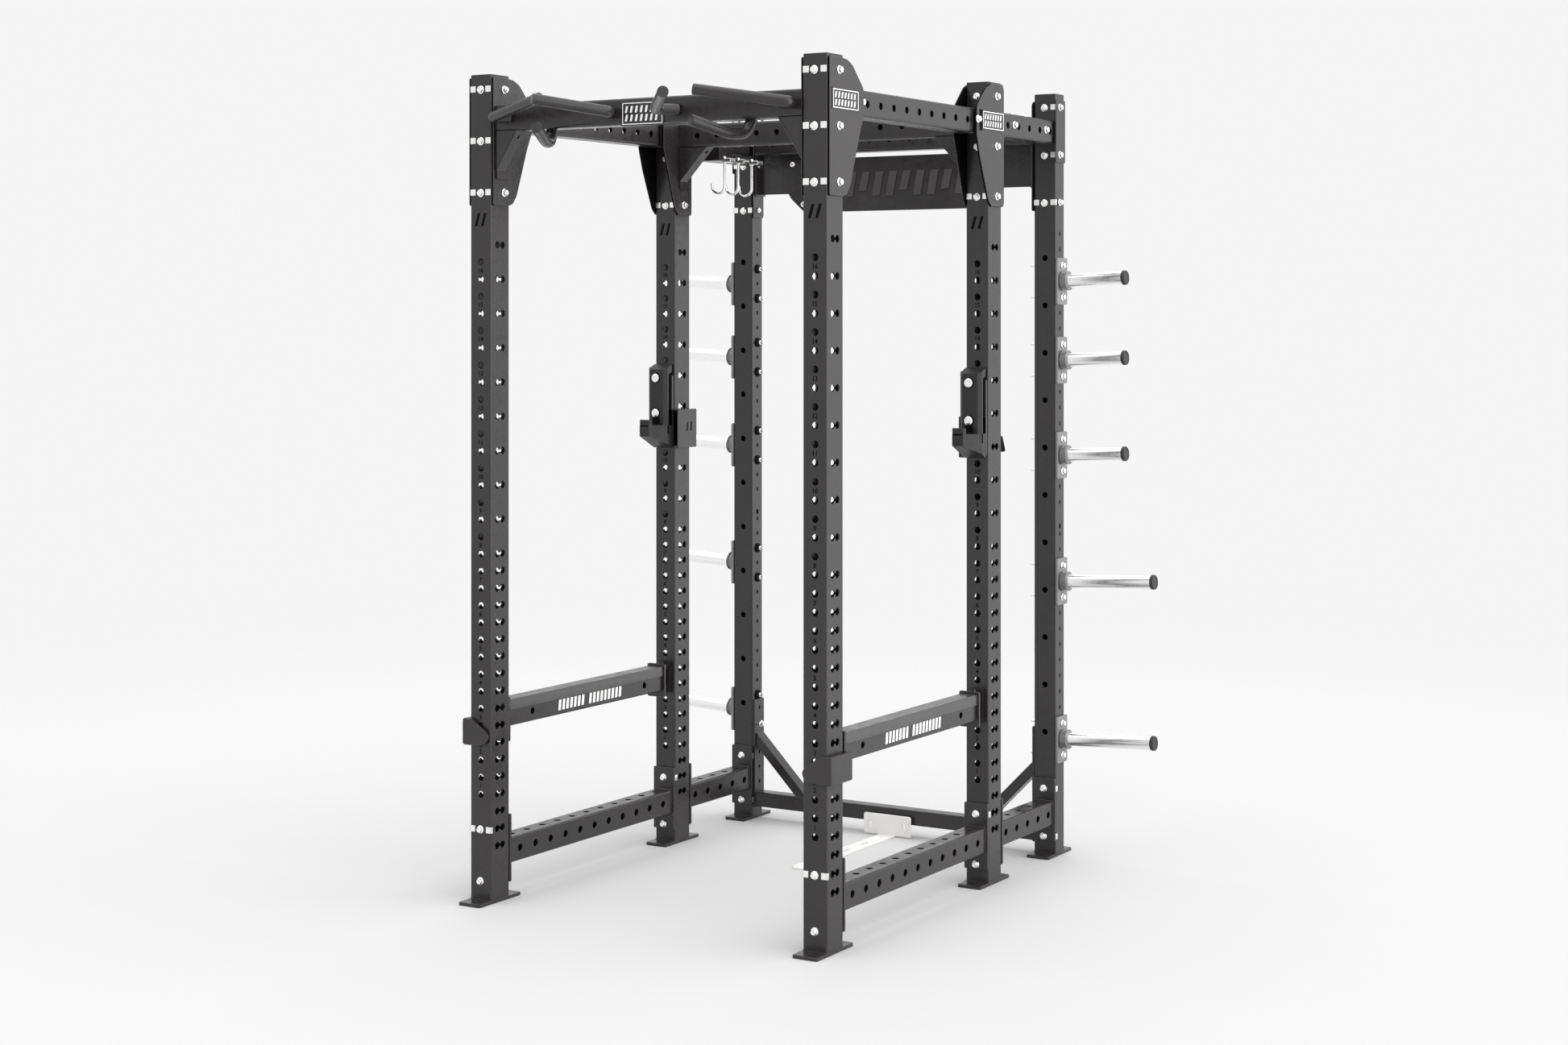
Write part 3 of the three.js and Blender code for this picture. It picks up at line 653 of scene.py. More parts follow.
for label, back in (("front", UP_D), ("middle", MID_BACK)):
    nut_set = back_nuts(back, BOLT_TOP[2:]).join(back_nuts(back + NUT_SEAT, BOLT_LOW))
    one_each(f"nuts_{label}", nut_set)
one_each("nuts_rear", back_nuts(REAR_BACK, BOLT_TOP + BOLT_LOW))


# ---- base rails ------------------------------------------------------------------
def hole_rows(y0, y1, count):
    """Evenly pitched positions centred between two ends."""
    first = (y0 + y1) / 2 - (count - 1) * RAIL_PITCH / 2
    return [first + i * RAIL_PITCH for i in range(count)]


def rail_holes(y0, y1, z, count, r):
    """The round holes on a rail's side."""
    return [circle(z, y, r, 22) for y in hole_rows(y0, y1, count)]


def base_rail(y0, y1, count):
    """A base tube between two welded end flanges."""
    shape = Shape()
    inner0, inner1 = y0 + FLANGE_T, y1 - FLANGE_T
    sides = rail_holes(y0, y1, BASE_CZ, count, 11.2)
    tops = [circle(ROW_X, hole_y, 10.4, 22) for hole_y in hole_rows(y0, y1, count)]
    holes = {"a-": sides, "a+": sides, "b+": tops}
    lo = (ROW_X - RAIL_HALF, inner0, BASE_Z)
    tube(shape, "y", lo, (ROW_X + RAIL_HALF, inner1, BASE_Z + RAIL_H), holes)
    for a, b in ((y0, inner0), (inner1, y1)):
        outline = soften(rect(IN_X - 1.5, OUT_X + 1.5, *FLANGE_Z), 4)
        panel(shape, outline, [], b - a, lambda u, v, w: (u, a + w, v), edge=0.9, both=True)
    for y in (inner0, inner1):
        ring = soften(rect(ROW_X - RAIL_HALF, ROW_X + RAIL_HALF, BASE_Z, BASE_Z + RAIL_H), 5, 3)
        rod(shape, [(x, y, z) for x, z in ring + ring[:2]], 2.6, 8, 0.2)
    return shape


both_sides("base_rail_front", base_rail(UP_D + GAP, MID_Y - GAP, 11))
both_sides("base_rail_rear", base_rail(MID_BACK + GAP, REAR_Y - GAP, 5))


# ---- top rails with gussets ------------------------------------------------------
FRONT_PLATE = [
    (3, 2063), (76, 2063), (98, 2070), (116, 2095), (165, 2231), (190, 2288),
    (190, 2361), (183, 2372), (128, 2426), (102, 2438), (71, 2442), (3, 2442),
]
MIDDLE_OUTER = [
    (978, 2446), (972, 2440), (941, 2426), (884, 2372), (881, 2362), (880, 2287), (902, 2216),
    (957, 2088), (977, 2070), (1056, 2070), (1063, 2080), (1063, 2430), (1054, 2446),
]
MIDDLE_INNER = [
    (989, 2446), (962, 2434), (912, 2383), (896, 2364), (896, 2288), (965, 2084),
    (983, 2068), (1056, 2068), (1060, 2076), (1060, 2436), (1052, 2446),
]
REAR_INNER = [(1446, 2075), (1508, 2075), (1512, 2082), (1512, 2428), (1456, 2428), (1446, 2418)]
REAR_OUTER = [(1446, 2229), (1515, 2229), (1515, 2430), (1446, 2430)]


def side_plate(shape, outline, outer):
    """A side plate on a thin flat-black layer that paints the shaded gap between plate and tube."""
    k = 1 if outer else -1
    start = ROW_X + k * (HALF_W + GAP)
    loop = soften(outline, 7, 3)
    place = lambda u, v, w: (start + k * w, u, v)
    # flat-black layer: painted shade in the gap behind the plate
    panel(shape, offset(counter(loop), 0.3), [], SHADE_GAP_T, place, slot=DARK)
    face = start + k * (SHADE_GAP_T + GUSSET_T)
    place = lambda u, v, w: (face - k * w, u, v)
    panel(shape, loop, [], GUSSET_T, place, edge=0.9, both=True)


def rail_body(shape, y0, y1, first, count):
    """A top rail's tube, with its row of side holes."""
    sides = [circle(TOP_CZ, first + i * RAIL_PITCH, HOLE_R, 22) for i in range(count)]
    flip = [[(z, y) for z, y in c] for c in sides]
    lo = (ROW_X - RAIL_HALF, y0, TOP_Z)
    hi = (ROW_X + RAIL_HALF, y1, TOP_Z + RAIL_H)
    tube(shape, "y", lo, hi, {"a-": flip, "a+": flip}, corner=RAIL_CORNER)


def end_pads(shape, y0, y1):
    """Flat-black blocks between a rail's end and the plates beside it: painted shade in the gaps."""
    for x0, x1 in ((IN_X - 1, ROW_X - RAIL_HALF + 1), (ROW_X + RAIL_HALF - 1, OUT_X + 1)):
        block(shape, (x0, x1), (y0, y1), (TOP_Z + 3, TOP_Z + RAIL_H - 3), 0.6, DARK)


def top_rail_front():
    """The cage bay's top rail with a pair of gussets at each end."""
    shape = Shape()
    rail_body(shape, UP_D + GAP, MID_Y - GAP, 234, 9)
    side_plate(shape, FRONT_PLATE, True)
    side_plate(shape, FRONT_PLATE, False)
    side_plate(shape, MIDDLE_OUTER, True)
    side_plate(shape, MIDDLE_INNER, False)
    end_pads(shape, UP_D + 1, 186)
    end_pads(shape, 884, MID_Y - 1)
    return shape


def top_rail_rear():
    """The storage bay's top rail with an inner gusset and a thin outer plate."""
    shape = Shape()
    rail_body(shape, MID_BACK + GAP, REAR_Y - GAP, 1117, 5)
    side_plate(shape, REAR_INNER, False)
    place = lambda u, v, w: (OUT_X + GAP + SIDE_T - w, u, v)
    panel(shape, soften(REAR_OUTER, 2, 2), [], SIDE_T, place, edge=0.8)
    end_pads(shape, REAR_Y - 10, REAR_Y - 1)
    return shape


both_sides("top_rail_front", top_rail_front())
both_sides("top_rail_rear", top_rail_rear())
rail_bolts = Shape()
rail_face = ROW_X + RAIL_HALF
for y, x in ((200, rail_face), (886, OUT_X + PLATE_OUT), (1161, rail_face), (1388, rail_face)):
    bolt(rail_bolts, (x, y, 2330), (1, 0, 0))
for y in (1205, 1300):
    bolt(rail_bolts, (ROW_X, y, TOP_Z + RAIL_H), (0, 0, 1), 0.8)
one_each("bolts_top_rail", rail_bolts)


def badge(shape, half_w, half_h, place):
    """A framed label with two rows of plain slanted bars."""
    panel(shape, rect(-half_w, half_w, -half_h, half_h), [], 2.4, place, edge=0.8)
    rim = rect(-half_w + 4, half_w - 4, -half_h + 4, half_h - 4)
    inner = rect(-half_w + 6.4, half_w - 6.4, -half_h + 6.4, half_h - 6.4)
    lift = lambda u, v, w: place(u, v, w - 0.5)
    panel(shape, rim, [inner], 0.8, lift, rim=0, slot=PRINT)
    rows = ((half_h * 0.08, half_h * 0.62), (-half_h * 0.62, -half_h * 0.08))
    count = 7
    slant = 4.0
    width = (2 * half_w - 26) / count
    for low, high in rows:
        for i in range(count):
            u = -half_w + 13 + i * width
            end = u + width * 0.4
            loop = [(u, low), (end, low), (end + slant, high), (u + slant, high)]
            panel(shape, loop, [], 0.8, lift, slot=PRINT)


labels = Shape()
face_x = OUT_X + PLATE_OUT + 2
badge(labels, 73, 30, lambda u, v, w: (face_x - w, 87 + u, 2328 + v))
badge(labels, 73, 30, lambda u, v, w: (face_x - w, 987 + u, 2330 + v))
# A flat-black patch on the plate beside the bolt: painted shade standing for a cut-out.
cutout_shade_x = OUT_X + PLATE_OUT + 0.4
panel(labels, rect(896, 914, 2296, 2360), [], 0.8, lambda u, v, w: (cutout_shade_x - w, u, v), slot=DARK)
make("label_plates_right", labels, slot=None)
make("label_plates_left", Shape().join(labels, mirror=True), slot=None)


# ---- crossmembers ----------------------------------------------------------------
def cross_tube(shape, y0, holes=(), z0=TOP_Z):
    """A crossmember's tube, with holes through its front and back."""
    sides = {"a-": list(holes), "a+": list(holes)}
    hi = (SPAN, y0 + 2 * RAIL_HALF, z0 + RAIL_H)
    tube(shape, "x", (-SPAN, y0, z0), hi, sides, corner=RAIL_CORNER)


def row_of_holes(count, r):
    """Round holes along a crossmember, centred on it."""
    return [circle(TOP_CZ, (i - (count - 1) / 2) * RAIL_PITCH, r, 20) for i in range(count)]


def knee_brace(shape, k, drop, reach, face, depth, z0=TOP_Z):
    """An end plate, a slanting strip with a round hole, and a thin web."""
    half = SPAN
    flange = lambda u, v, w: (k * (half - w), u, v)
    end_plate = soften(rect(face + 2, face + 64, z0 - drop - 22, z0 + RAIL_H), 4)
    panel(shape, end_plate, [], 5, flange, edge=0.8)
    top = Vector((half - reach - 3, z0 + 2))
    end = Vector((half - 3, z0 - drop))
    run = (end - top).normalized()
    out = Vector((run.y, -run.x))

    def strip_place(u, v, w):
        p = top + run * u - out * w
        return (k * p.x, v, p.y)

    strip = rect(0, (end - top).length, face, face + depth)
    panel(shape, strip, [circle(24, face + depth / 2, 6)], 5, strip_place, edge=0.7, both=True)
    web = [(half - reach + 4, z0 + 1), (half - 2, z0 - drop + 8), (half - 2, z0 + 1)]
    web_place = lambda u, v, w: (u, face + w, v)
    panel(shape, [(k * x, v) for x, v in web], [], 5, web_place, edge=0.4, both=True)


def front_beam():
    """The front crossmember with its knee braces and its label."""
    shape = Shape()
    cross_tube(shape, UP_D / 2 - RAIL_HALF, z0=FRONT_Z)
    for k in (-1, 1):
        knee_brace(shape, k, 118, 78, UP_D / 2 - RAIL_HALF, 44, FRONT_Z)
    badge(shape, 73, 35, lambda u, v, w: (u, 8.6 + w, 2312 + v))
    for x in (-300, 300):
        bolt(shape, (x, UP_D / 2 + 16, FRONT_Z + RAIL_H), (0, 0, 1), 0.9)
    return shape


def middle_beam():
    """The middle crossmember with its knee braces."""
    shape = Shape()
    cross_tube(shape, MID_Y + UP_D / 2 - RAIL_HALF, row_of_holes(13, 9.5))
    for k in (-1, 1):
        knee_brace(shape, k, 112, 108, MID_Y + UP_D / 2 - RAIL_HALF, 44)
    return shape


def rear_beam():
    """The rear crossmember with a plate ear below it at each end."""
    shape = Shape()
    cross_tube(shape, REAR_Y, row_of_holes(13, 9.5))
    for k in (-1, 1):
        ear = ((345, 2155), (SPAN, 2155), (SPAN, 2290), (345, 2290))
        loop = soften([(k * x, z) for x, z in ear], 6)
        panel(shape, loop, [], 6, lambda u, v, w: (u, REAR_CY - 3 + w, v), edge=0.8, both=True)
        plate = soften(rect(REAR_Y + 2, REAR_BACK - 2, 2150, TOP_Z + RAIL_H), 4)
        panel(shape, plate, [], 6, lambda u, v, w: (k * (SPAN - w), u, v), edge=0.8)
    return shape


make("top_beam_front_look", front_beam(), replaces=["top_beam_front"])
make("top_beam_middle_look", middle_beam(), replaces=["top_beam_middle"])
make("top_beam_rear_look", rear_beam(), replaces=["top_beam_rear"])


# ---- sign panel ------------------------------------------------------------------
def sign():
    """A plain sign plate with a raised row of slanted bars in place of lettering."""
    shape = Shape()
    y0 = REAR_CY - 3 - GAP - 7
    half = [(405, 2262), (405, 2155), (392, 2136), (345, 2094), (330, 2090)]
    outline = half + [(-x, z) for x, z in reversed(half)] + [(-396, 2272), (396, 2272)]
    panel(shape, soften(outline, 6, 3), [], 7, lambda u, v, w: (u, y0 + w, v), edge=0.8, both=True)
    count = 11
    pitch = 52
    for i in range(count):
        x = (i - (count - 1) / 2) * pitch
        low = 2140 if i % 3 else 2158
        loop = [(x - 22, low), (x + 6, low), (x + 22, 2222), (x - 6, 2222)]
        panel(shape, loop, [], 5, lambda u, v, w: (u, y0 - 4 + w, v), edge=0.5, slot=MARK)
    for x, z in ((388, 2256), (345, 2118)):
        for k in (-1, 1):
            button_bolt(shape, (k * x, y0, z), (0, -1, 0), 10)
    return shape


make("sign_panel_look", sign(), replaces=["sign_panel"])


# ---- pull-up grips ---------------------------------------------------------------
FACE_Y = UP_D / 2 - RAIL_HALF - GAP


def grip(path, bend):
    """A round bar bent along a path."""
    return rod(Shape(), bent(path, bend), 16, 28, 1.2)


both_sides("grip_outer", grip([(468, FACE_Y, 2320), (516, -26, 2318), (262, -127, 2357)], 22))
both_sides("grip_inner", grip([(122, FACE_Y, 2318), (78, -42, 2316), (222, -214, 2346)], 22))
both_sides(
    "grip_lower",
    grip([(345, UP_D / 2, FRONT_Z - GAP), (336, 26, 2243), (318, -20, 2238), (263, -139, 2272)], 30),
)


# ---- rear base beam --------------------------------------------------------------
def rear_base():
    """The rear base tube with an end plate and a slanting strut on each side."""
    shape = Shape()
    half = IN_X - GAP
    lo = (-half, REAR_CY - BEAM_HALF, BEAM_Z[0])
    tube(shape, "x", lo, (half, REAR_CY + BEAM_HALF, BEAM_Z[1]), corner=4)
    for k in (-1, 1):
        outline = soften(rect(REAR_CY - 30, REAR_CY + 30, 40, 412), 5)
        holes = [oval(REAR_CY, z, 4.4, 7, 14) for z in (381, 228.6, 177.8, 127)]
        place = lambda u, v, w: (k * (half - 8 + w), u, v)
        panel(shape, outline, holes, 8, place, edge=0.8, both=True)
        strut = [(half - 6, 301), (half - 6, 255), (half - 168, 91), (half - 214, 91)]
        place = lambda u, v, w: (u, REAR_CY - 22 + w, v)
        panel(shape, [(k * x, z) for x, z in strut], [], 44, place, edge=1.4, both=True)
        bolt(shape, (k * (half - 8), REAR_CY + 14, 324), (-k, 0, 0), 0.9)
    return shape


make("base_beam_rear_look", rear_base(), replaces=["base_beam_rear"])


# ---- storage horns ---------------------------------------------------------------
def horn(z, reach):
    """A storage horn's mounting plate, its bar and its end cap."""
    plate = Shape()
    outline = soften(rect(REAR_CY - 36, REAR_CY + 37, z - 75, z + 75), 6)
    face = OUT_X + 9
    panel(plate, outline, [], 8.4, lambda u, v, w: (face - w, u, v), edge=1, both=True, slot=GREY)
    axis = Vector((1, 0, HORN_TILT)).normalized()
    at = Vector((face - 1, REAR_CY, z))
    collar = [(25, 0), (25, 3), (31, 4), (31, 8), (27.5, 9), (27.5, 20), (31, 21), (31, 25), (26, 26)]
    turned(plate, collar, at, axis, 32, GREY)
    for bolt_z in (z - PITCH, z + PITCH):
        bolt(plate, (face, REAR_CY, bolt_z), (1, 0, 0), 0.95)
        back = (IN_X, REAR_CY, bolt_z)
        turned(plate, [(16, 0), (16, 4), (13, 6)], back, (-1, 0, 0), 24, DARK)
        turned(plate, [(8, 5), (8, 12), (7, 13)], back, (-1, 0, 0), 6, ZINC)
        turned(plate, [(4.8, 12), (4.8, 24), (4, 25)], back, (-1, 0, 0), 14, ZINC)
    start = at + axis * 18
    end = at + axis * (reach - 16)
    bar = rod(Shape(), [start, end], HORN_R, 48, 1)
    profile = [(23.3, 0), (23.3, 8), (HORN_R, 10.4), (18, 10.8), (17.2, 9.6)]
    tip = turned(Shape(), profile, end + axis * 0.2, axis, 40)
    return plate, bar, tip


for i, z in enumerate(HORN_Z):
    plate, bar, tip = horn(z, HORN_OUT[i])
    one_each(f"horn_plate_{i + 1}", plate, None)
    both_sides(f"horn_{i + 1}", bar, slot="chrome_tube", finish=[chrome])
    both_sides(f"horn_cap_{i + 1}", tip, slot="black_plastic", finish=[rubber])


# ---- bar cups --------------------------------------------------------------------
def cup_bracket():
    """The steel channel that wraps the middle upright, with its locating pin."""
    shape = Shape()
    f = MID_Y - 1
    side = soften(rect(f - 10, MID_BACK + 11, 1303, 1429), 4)
    panel(shape, side, [], 18, lambda u, v, w: (IN_X - 20 + w, u, v), edge=1.2, both=True)
    block(shape, (IN_X - 18, OUT_X - 4), (f - 10, f), (1310, 1429), 1.2)
    block(shape, (IN_X + 4, OUT_X - 3), (f - 10, f), (1315, 1541), 1.2)
    block(shape, (IN_X - 18, OUT_X - 6), (MID_BACK + 1, MID_BACK + 11), (1318, 1366), 1.2)
    # A flat-black tapered plate behind the bracket: painted shadow on the upright.
    shadow_flare = [(MID_BACK + 1, 1318), (MID_BACK + 29, 1318), (MID_BACK + 32, 1325), (MID_BACK + 12, 1367)]
    shadow_flare = soften(shadow_flare + [(MID_BACK + 1, 1367)], 3)
    panel(shape, shadow_flare, [], 17, lambda u, v, w: (OUT_X - 2 - w, u, v), edge=1, both=True, slot=DARK)
    pin_foot = (IN_X - 4, MID_Y + UP_D / 2, number_z(11))
    turned(shape, [(9, 0), (9, 30), (7, 34)], pin_foot, (1, 0, 0), 24, ZINC)
    bar = ((-9, -17), (1, -17), (9, 17), (-1, 17))
    for k in (-1, 1):
        loop = [(MID_Y + 56 + k * 11 + py * 0.6, 1372 + pz * 0.9) for py, pz in bar]
        panel(shape, loop, [], 1, lambda u, v, w: (IN_X - 20.4 + w, u, v), slot=DARK)
    return shape


def cup_liner():
    """The plastic pad in front of the bracket, with the hook that holds the bar."""
    shape = Shape()
    b = MID_Y - 11 - GAP
    x0 = IN_X + 1
    x1 = OUT_X - 2
    fore = MID_Y - 50
    # the deep slot between the front pad and the back plate, drawn as a flat-black block: painted shade
    block(shape, (x0 + 11, x1 - 13), (fore + 10, b), (1332, 1556), 1, DARK)
    slope = 17 / 38
    rings = []
    for inset, y in ((10, fore), (0, fore + 10), (0, fore + 17), (3, fore + 17)):
        rings.append((x0 + inset, x1 - inset, y))
    pts = []
    for left, right, y in rings:
        top = 1561 + (y - fore) * slope
        pts += [(left, y, 1350), (right, y, 1350), (right, y, top), (left, y, top)]
    faces = [(0, 1, 2, 3), (12, 13, 14, 15)]
    for i in range(3):
        a = 4 * i
        for k in range(4):
            m = (k + 1) % 4
            faces.append((a + k, a + m, a + 4 + m, a + 4 + k))
    shape.add(pts, faces)
    # the head that closes the top of the slot
    head = [(fore + 12, 1540), (b, 1552), (b, 1578), (fore + 12, 1566)]
    panel(shape, head, [], x1 - x0 - 3, lambda u, v, w: (x0 + 1.5 + w, u, v), edge=1.2, both=True)
    # the hook, its lip and its slanted nose
    low = [(x0, b), (x0, MID_Y - 94), (x0 + 37, MID_Y - 94), (x1, MID_Y - 40), (x1, b)]
    drop = (1303, 1343, 1343, 1318, 1303)
    pts = [(x, y, z) for (x, y), z in zip(low, drop)] + [(x, y, 1379) for x, y in low]
    faces = [(0, 1, 2, 3, 4), (5, 6, 7, 8, 9)]
    faces += [(i, (i + 1) % 5, 5 + (i + 1) % 5, 5 + i) for i in range(5)]
    shape.add(pts, faces)
    lip = soften([(x0, MID_Y - 94), (x0 + 37, MID_Y - 94), (x0 + 43, MID_Y - 84), (x0, MID_Y - 84)], 2)
    panel(shape, lip, [], 22, lambda u, v, w: (u, v, 1397 - w), edge=1.6)
    for z in (1533, 1418):
        ring_foot = (ROW_X - 4, fore - 0.6, z)
        turned(shape, [(17, 0), (17, 1.0), (16, 1.4)], ring_foot, (0, -1, 0), 28, DARK)
        button_bolt(shape, (ROW_X - 4, fore - 1.2, z), (0, -1, 0))
    block(shape, (ROW_X - 16, ROW_X + 12), (fore - 0.8, fore + 1), (1384, 1402), 0.5, DARK)
    block(shape, (ROW_X - 12, ROW_X + 8), (fore - 0.6, fore + 1), (1370, 1375), 0.5, DARK)
    return shape


both_sides("cup_bracket", cup_bracket(), body="cup")
liner = cup_liner()
LINER_FINISH = [plastic, dark, zinc]
make("cup_liner_right_look", liner, "cup_right", ["cup_liner_right"], "black_plastic", LINER_FINISH)
other = Shape().join(liner, (-2 * ROW_X, 0, 0))
make("cup_liner_left_look", other, "cup_left", ["cup_liner_left"], "black_plastic", LINER_FINISH)


# ---- safety bars -----------------------------------------------------------------
def safety_bar():
    """The square tube, its front hook bracket, its rear plate and the pivot tongue."""
    shape = Shape()
    sides = [circle(541, y, 10, 22) for y in (BAR_Y0 + 130, BAR_Y1 - 110)]
    lo = (ROW_X - BAR_HALF, BAR_Y0 + 8, BAR_Z0)
    hi = (ROW_X + BAR_HALF, BAR_Y1 - 8, BAR_Z1)
    tube(shape, "y", lo, hi, {"a-": sides, "a+": sides})
    near = soften(rect(ROW_X - 34, OUT_X + 3, 466, 600), 6)
    panel(shape, near, [], 10, lambda u, v, w: (u, BAR_Y0 + w, v), edge=1.1, both=True)
    side = soften(rect(-11.4, BAR_Y0 + 12, 466.4, 543.6), 6)
    panel(shape, side, [], 19, lambda u, v, w: (OUT_X + 21 - w, u, v), edge=1.4, both=True)
    hook = soften([
        (OUT_X + 20.5, 466), (OUT_X + 20.5, 544), (OUT_X - 12, 544), (IN_X + 12, 510),
        (IN_X + 3, 496), (IN_X + 10, 476), (IN_X + 24, 468), (OUT_X - 4, 466),
    ], 9)
    panel(shape, hook, [], 9.8, lambda u, v, w: (u, -12.4 + w, v), edge=1.2, both=True)
    turned(shape, [(8, 0), (8, 14), (6.5, 17)], (OUT_X + 3, UP_D / 2, number_z(3)), (-1, 0, 0), 24, ZINC)
    far = soften(rect(ROW_X - 34, ROW_X + 34, 490, 598), 7)
    panel(shape, far, [], 9, lambda u, v, w: (u, BAR_Y1 - 9 + w, v), edge=1.1, both=True)
    tongue = soften(rect(ROW_X - 13, ROW_X + 13, BAR_Y1 - 1, PIVOT_Y + 12), 8)
    eye = circle(ROW_X, PIVOT_Y, 8.6)
    panel(shape, tongue, [eye], 50, lambda u, v, w: (u, v, 574 - w), edge=1, both=True)
    return shape


def safety_liner():
    """The plastic strip that caps the safety tube."""
    shape = Shape()
    h = BAR_HALF + GAP
    y0 = BAR_Y0 + 10 + GAP
    y1 = BAR_Y1 - 9 - GAP
    low = BAR_Z1 - 26
    top = BAR_Z1 + GAP
    loop = [(-h - 3, low), (-h, low), (-h, top), (h, top), (h, low), (h + 3, low)]
    crown = BAR_Z1 + 5
    loop += [(h + 3, BAR_Z1 + 1), (h + 0.6, crown), (-h - 0.6, crown), (-h - 3, BAR_Z1 + 1)]
    place = lambda u, v, w: (ROW_X + u, y0 + w, v)
    panel(shape, loop, [], y1 - y0, place, edge=0.6, both=True)
    return shape


def safety_label(x, k):
    """A plain strip of slanted white bars on the side of a safety tube."""
    shape = Shape()
    face = x + k * 0.25
    low, high = 524, 556
    count = 17
    pitch = 20
    for i in range(count):
        y = 350 + i * pitch
        if i == 7:
            continue
        loop = [(y, low), (y + 12, low), (y + 16, high), (y + 4, high)]
        panel(shape, loop, [], 0.5, lambda u, v, w: (face - k * w, u, v), slot=PRINT)
    return shape


both_sides("safety_bar", safety_bar(), body="safety")
both_sides("safety_liner", safety_liner(), body="safety", slot="black_plastic", finish=[strip])
for label, side in (("right", 1), ("left", -1)):
    printed_bars = safety_label(side * ROW_X + BAR_HALF, 1)
    printed_bars.join(safety_label(side * ROW_X - BAR_HALF, -1))
    make(f"safety_label_{label}", printed_bars, f"safety_{label}", slot=None)


# ---- storage hooks and floor tie -------------------------------------------------
for i, y in enumerate(HOOK_Y):
    path = [(HOOK_X, y, HOOK_Z - GAP), (HOOK_X, y, HOOK_Z - 81)]
    for k in range(1, 16):
        a = k * math.pi / 16
        x = HOOK_X - HOOK_R + HOOK_R * math.cos(a)
        path.append((x, y, HOOK_Z - 81 - HOOK_R * math.sin(a)))
    path += [(HOOK_X - 2 * HOOK_R, y, HOOK_Z - 79), (HOOK_X - 2 * HOOK_R - 2, y, HOOK_Z - 72)]
    wire = rod(Shape(), path, 4.5, 18, 1)
    turned(wire, [(9, 0), (9, 3), (7.6, 4.2)], (HOOK_X, y, HOOK_Z - GAP), (0, 0, -1), 20)
    node = f"storage_hook_{i + 1}"
    make(f"{node}_look", wire, replaces=[node], slot="zinc_steel", finish=[zinc])

rack_nuts = Shape()
tray_y = MID_BACK + 52
tray = soften(rect(HOOK_X - 70, HOOK_X + 20, HOOK_Z, HOOK_Z + 44), 5)
panel(rack_nuts, tray, [], 5, lambda u, v, w: (u, tray_y - 5 + w, v), edge=0.8, both=True)
for y in HOOK_Y:
    nut(rack_nuts, (HOOK_X, y, HOOK_Z + 6), (0, 0, 1), 0.8)
    tab_z = (HOOK_Z - 3, HOOK_Z + 10)
    block(rack_nuts, (HOOK_X + 14, HOOK_X + 34), (y - 17, y + 17), tab_z, 1, ZINC)
make("hook_rack_nuts", rack_nuts, slot="zinc_steel")


def floor_tie():
    """The pale bracket on the rear base beam, with its strap along the floor."""
    shape = Shape()
    y = REAR_Y - 10
    slots = [soften(rect(x - 5, x + 5, 15, 48), 4.6, 4) for x in (-64, 64)]
    plate = soften(rect(-89, 89, 5, 73), 9)
    panel(shape, plate, slots, 6, lambda u, v, w: (u, y + w, v), edge=0.9, both=True)
    half = [(-30, y + 6), (-30, y - 560), (-18, y - 575)]
    strap = soften(half + [(-x, end) for x, end in reversed(half)], 6)
    starts = [y - 420 + 120 * i for i in range(3)]
    holes = [soften(rect(-6, 6, start, start + 50), 5.5, 4) for start in starts]
    panel(shape, strap, holes, 6, lambda u, v, w: (u, v, 6 - w), edge=0.9, both=True)
    return shape


make("floor_tie_look", floor_tie(), replaces=["floor_tie"], slot="pale_coat", finish=[pale])

for node in ("hook_rack", "safety_pivot_right", "safety_pivot_left"):
    for part_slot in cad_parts[node].material_slots:
        part_slot.material = coat


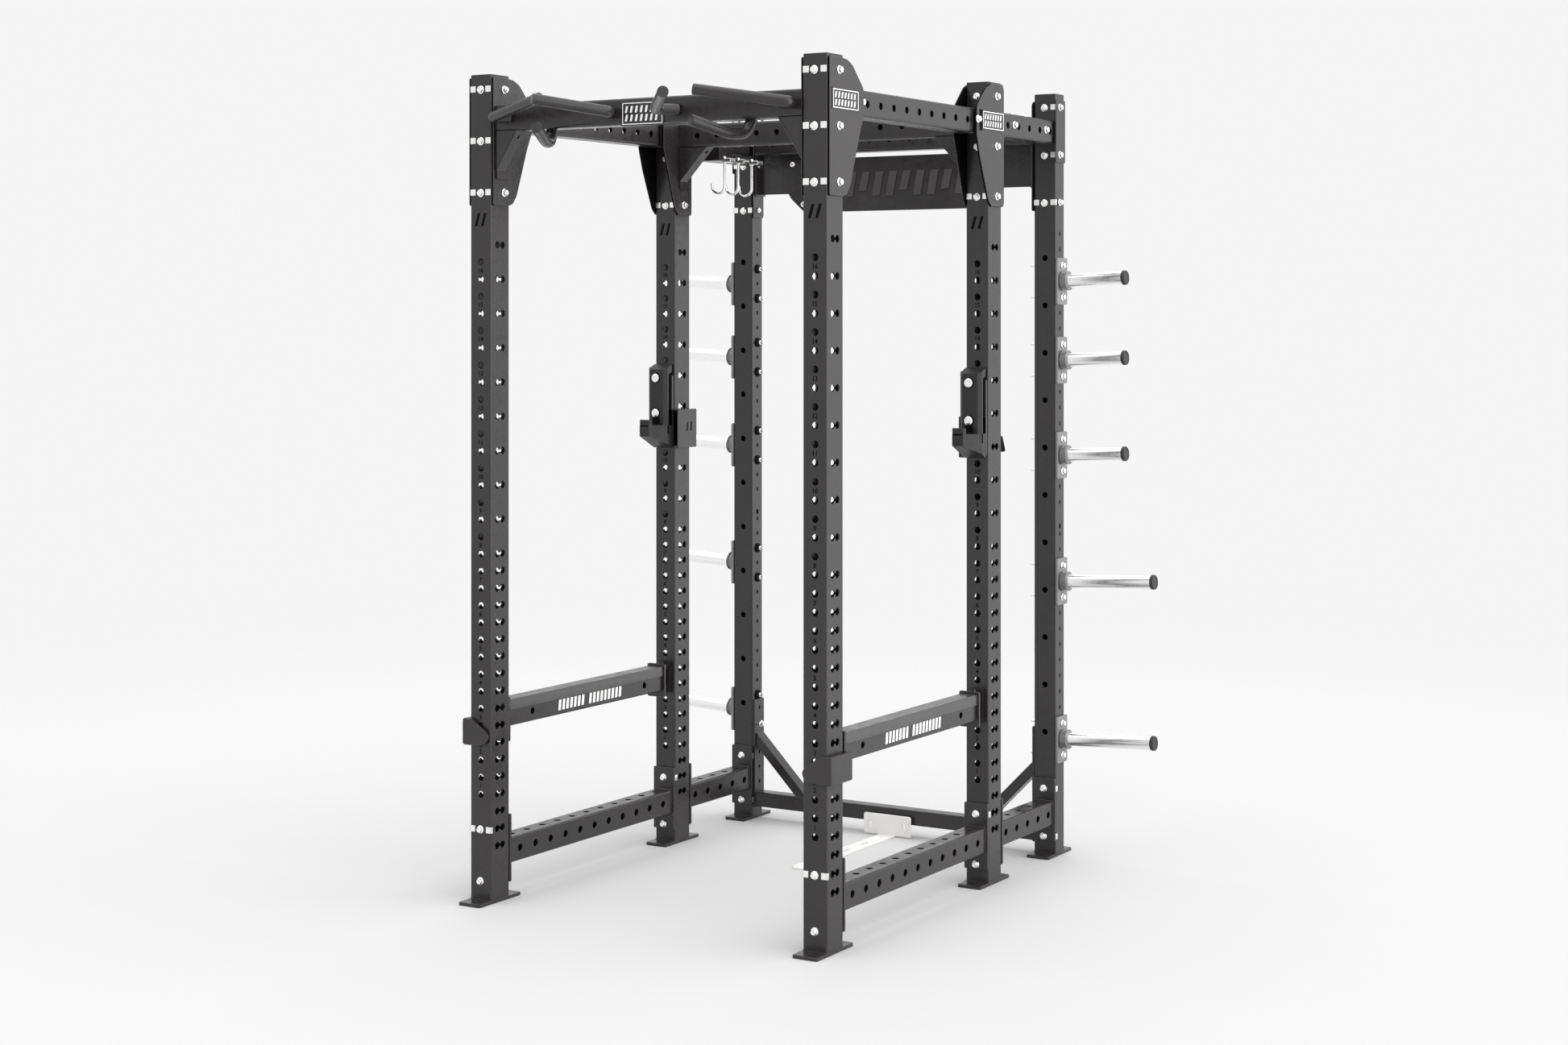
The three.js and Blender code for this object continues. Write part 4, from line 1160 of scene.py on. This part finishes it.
# ---- floor, light and camera -----------------------------------------------------
def make_floor():
    """A pale floor that fades into the backdrop away from the object."""
    mesh = bpy.data.meshes.new("floor")
    reach = 14
    corners = [(x, y, 0) for x, y in rect(-reach, reach, -reach, reach)]
    mesh.from_pydata(corners, [], [(0, 1, 2, 3)])
    obj = bpy.data.objects.new("floor", mesh)
    bpy.context.scene.collection.objects.link(obj)
    mat = bpy.data.materials.new("pale_floor")
    mat.use_nodes = True
    nodes, links = mat.node_tree.nodes, mat.node_tree.links
    shader = nodes["Principled BSDF"]
    shader.inputs["Base Color"].default_value = (0.575, 0.575, 0.575, 1)
    shader.inputs["Roughness"].default_value = 0.7
    shader.inputs["Specular IOR Level"].default_value = 0.15
    place = nodes.new("ShaderNodeTexCoord")
    far = nodes.new("ShaderNodeVectorMath")
    far.operation = "LENGTH"
    fade = nodes.new("ShaderNodeMapRange")
    fade.interpolation_type = "SMOOTHSTEP"
    fade.inputs["From Min"].default_value = 1.6
    fade.inputs["From Max"].default_value = 7.0
    clear = nodes.new("ShaderNodeBsdfTransparent")
    mix = nodes.new("ShaderNodeMixShader")
    links.new(place.outputs["Object"], far.inputs[0])
    links.new(far.outputs["Value"], fade.inputs["Value"])
    links.new(fade.outputs["Result"], mix.inputs["Fac"])
    links.new(shader.outputs["BSDF"], mix.inputs[1])
    links.new(clear.outputs["BSDF"], mix.inputs[2])
    links.new(mix.outputs["Shader"], nodes["Material Output"].inputs["Surface"])
    mesh.materials.append(mat)


def make_light():
    """A white studio: an even room, brighter to the right and overhead."""
    world = bpy.data.worlds.new("studio")
    world.use_nodes = True
    nodes, links = world.node_tree.nodes, world.node_tree.links
    back = nodes["Background"]
    back.inputs["Color"].default_value = (1.0, 0.998, 1.0, 1)
    place = nodes.new("ShaderNodeTexCoord")

    def lobe(direction, start, end, gain):
        dot = nodes.new("ShaderNodeVectorMath")
        dot.operation = "DOT_PRODUCT"
        dot.inputs[1].default_value = Vector(direction).normalized()
        links.new(place.outputs["Generated"], dot.inputs[0])
        ramp = nodes.new("ShaderNodeMapRange")
        ramp.interpolation_type = "SMOOTHSTEP"
        ramp.inputs["From Min"].default_value = start
        ramp.inputs["From Max"].default_value = end
        ramp.inputs["To Min"].default_value = 0
        ramp.inputs["To Max"].default_value = gain
        links.new(dot.outputs["Value"], ramp.inputs["Value"])
        return ramp.outputs["Result"]

    parts = [
        lobe((1.0, 0.16, 0.05), 0.48, 0.98, 2.0),
        lobe((0.1, 0.0, 1.0), 0.4, 0.95, 1.1),
    ]
    total = None
    for value in parts:
        plus = nodes.new("ShaderNodeMath")
        plus.operation = "ADD"
        plus.inputs[0].default_value = 0.92
        if total is not None:
            links.new(total, plus.inputs[0])
        links.new(value, plus.inputs[1])
        total = plus.outputs["Value"]
    links.new(total, back.inputs["Strength"])
    bpy.context.scene.world = world
    bpy.context.scene.view_settings.view_transform = "Standard"


def make_camera():
    """The camera, in front of the cage and to its right, at eye height."""
    data = bpy.data.cameras.new("camera")
    data.lens = 56.48
    data.shift_y = -0.1316
    data.clip_end = 100
    obj = bpy.data.objects.new("camera", data)
    obj.location = (3.9805, (-5742 + SHIFT_Y) * MM, 1.7356)
    obj.rotation_euler = (math.radians(90), 0, math.radians(31.393))
    bpy.context.scene.collection.objects.link(obj)
    bpy.context.scene.camera = obj


make_floor()
make_light()
make_camera()
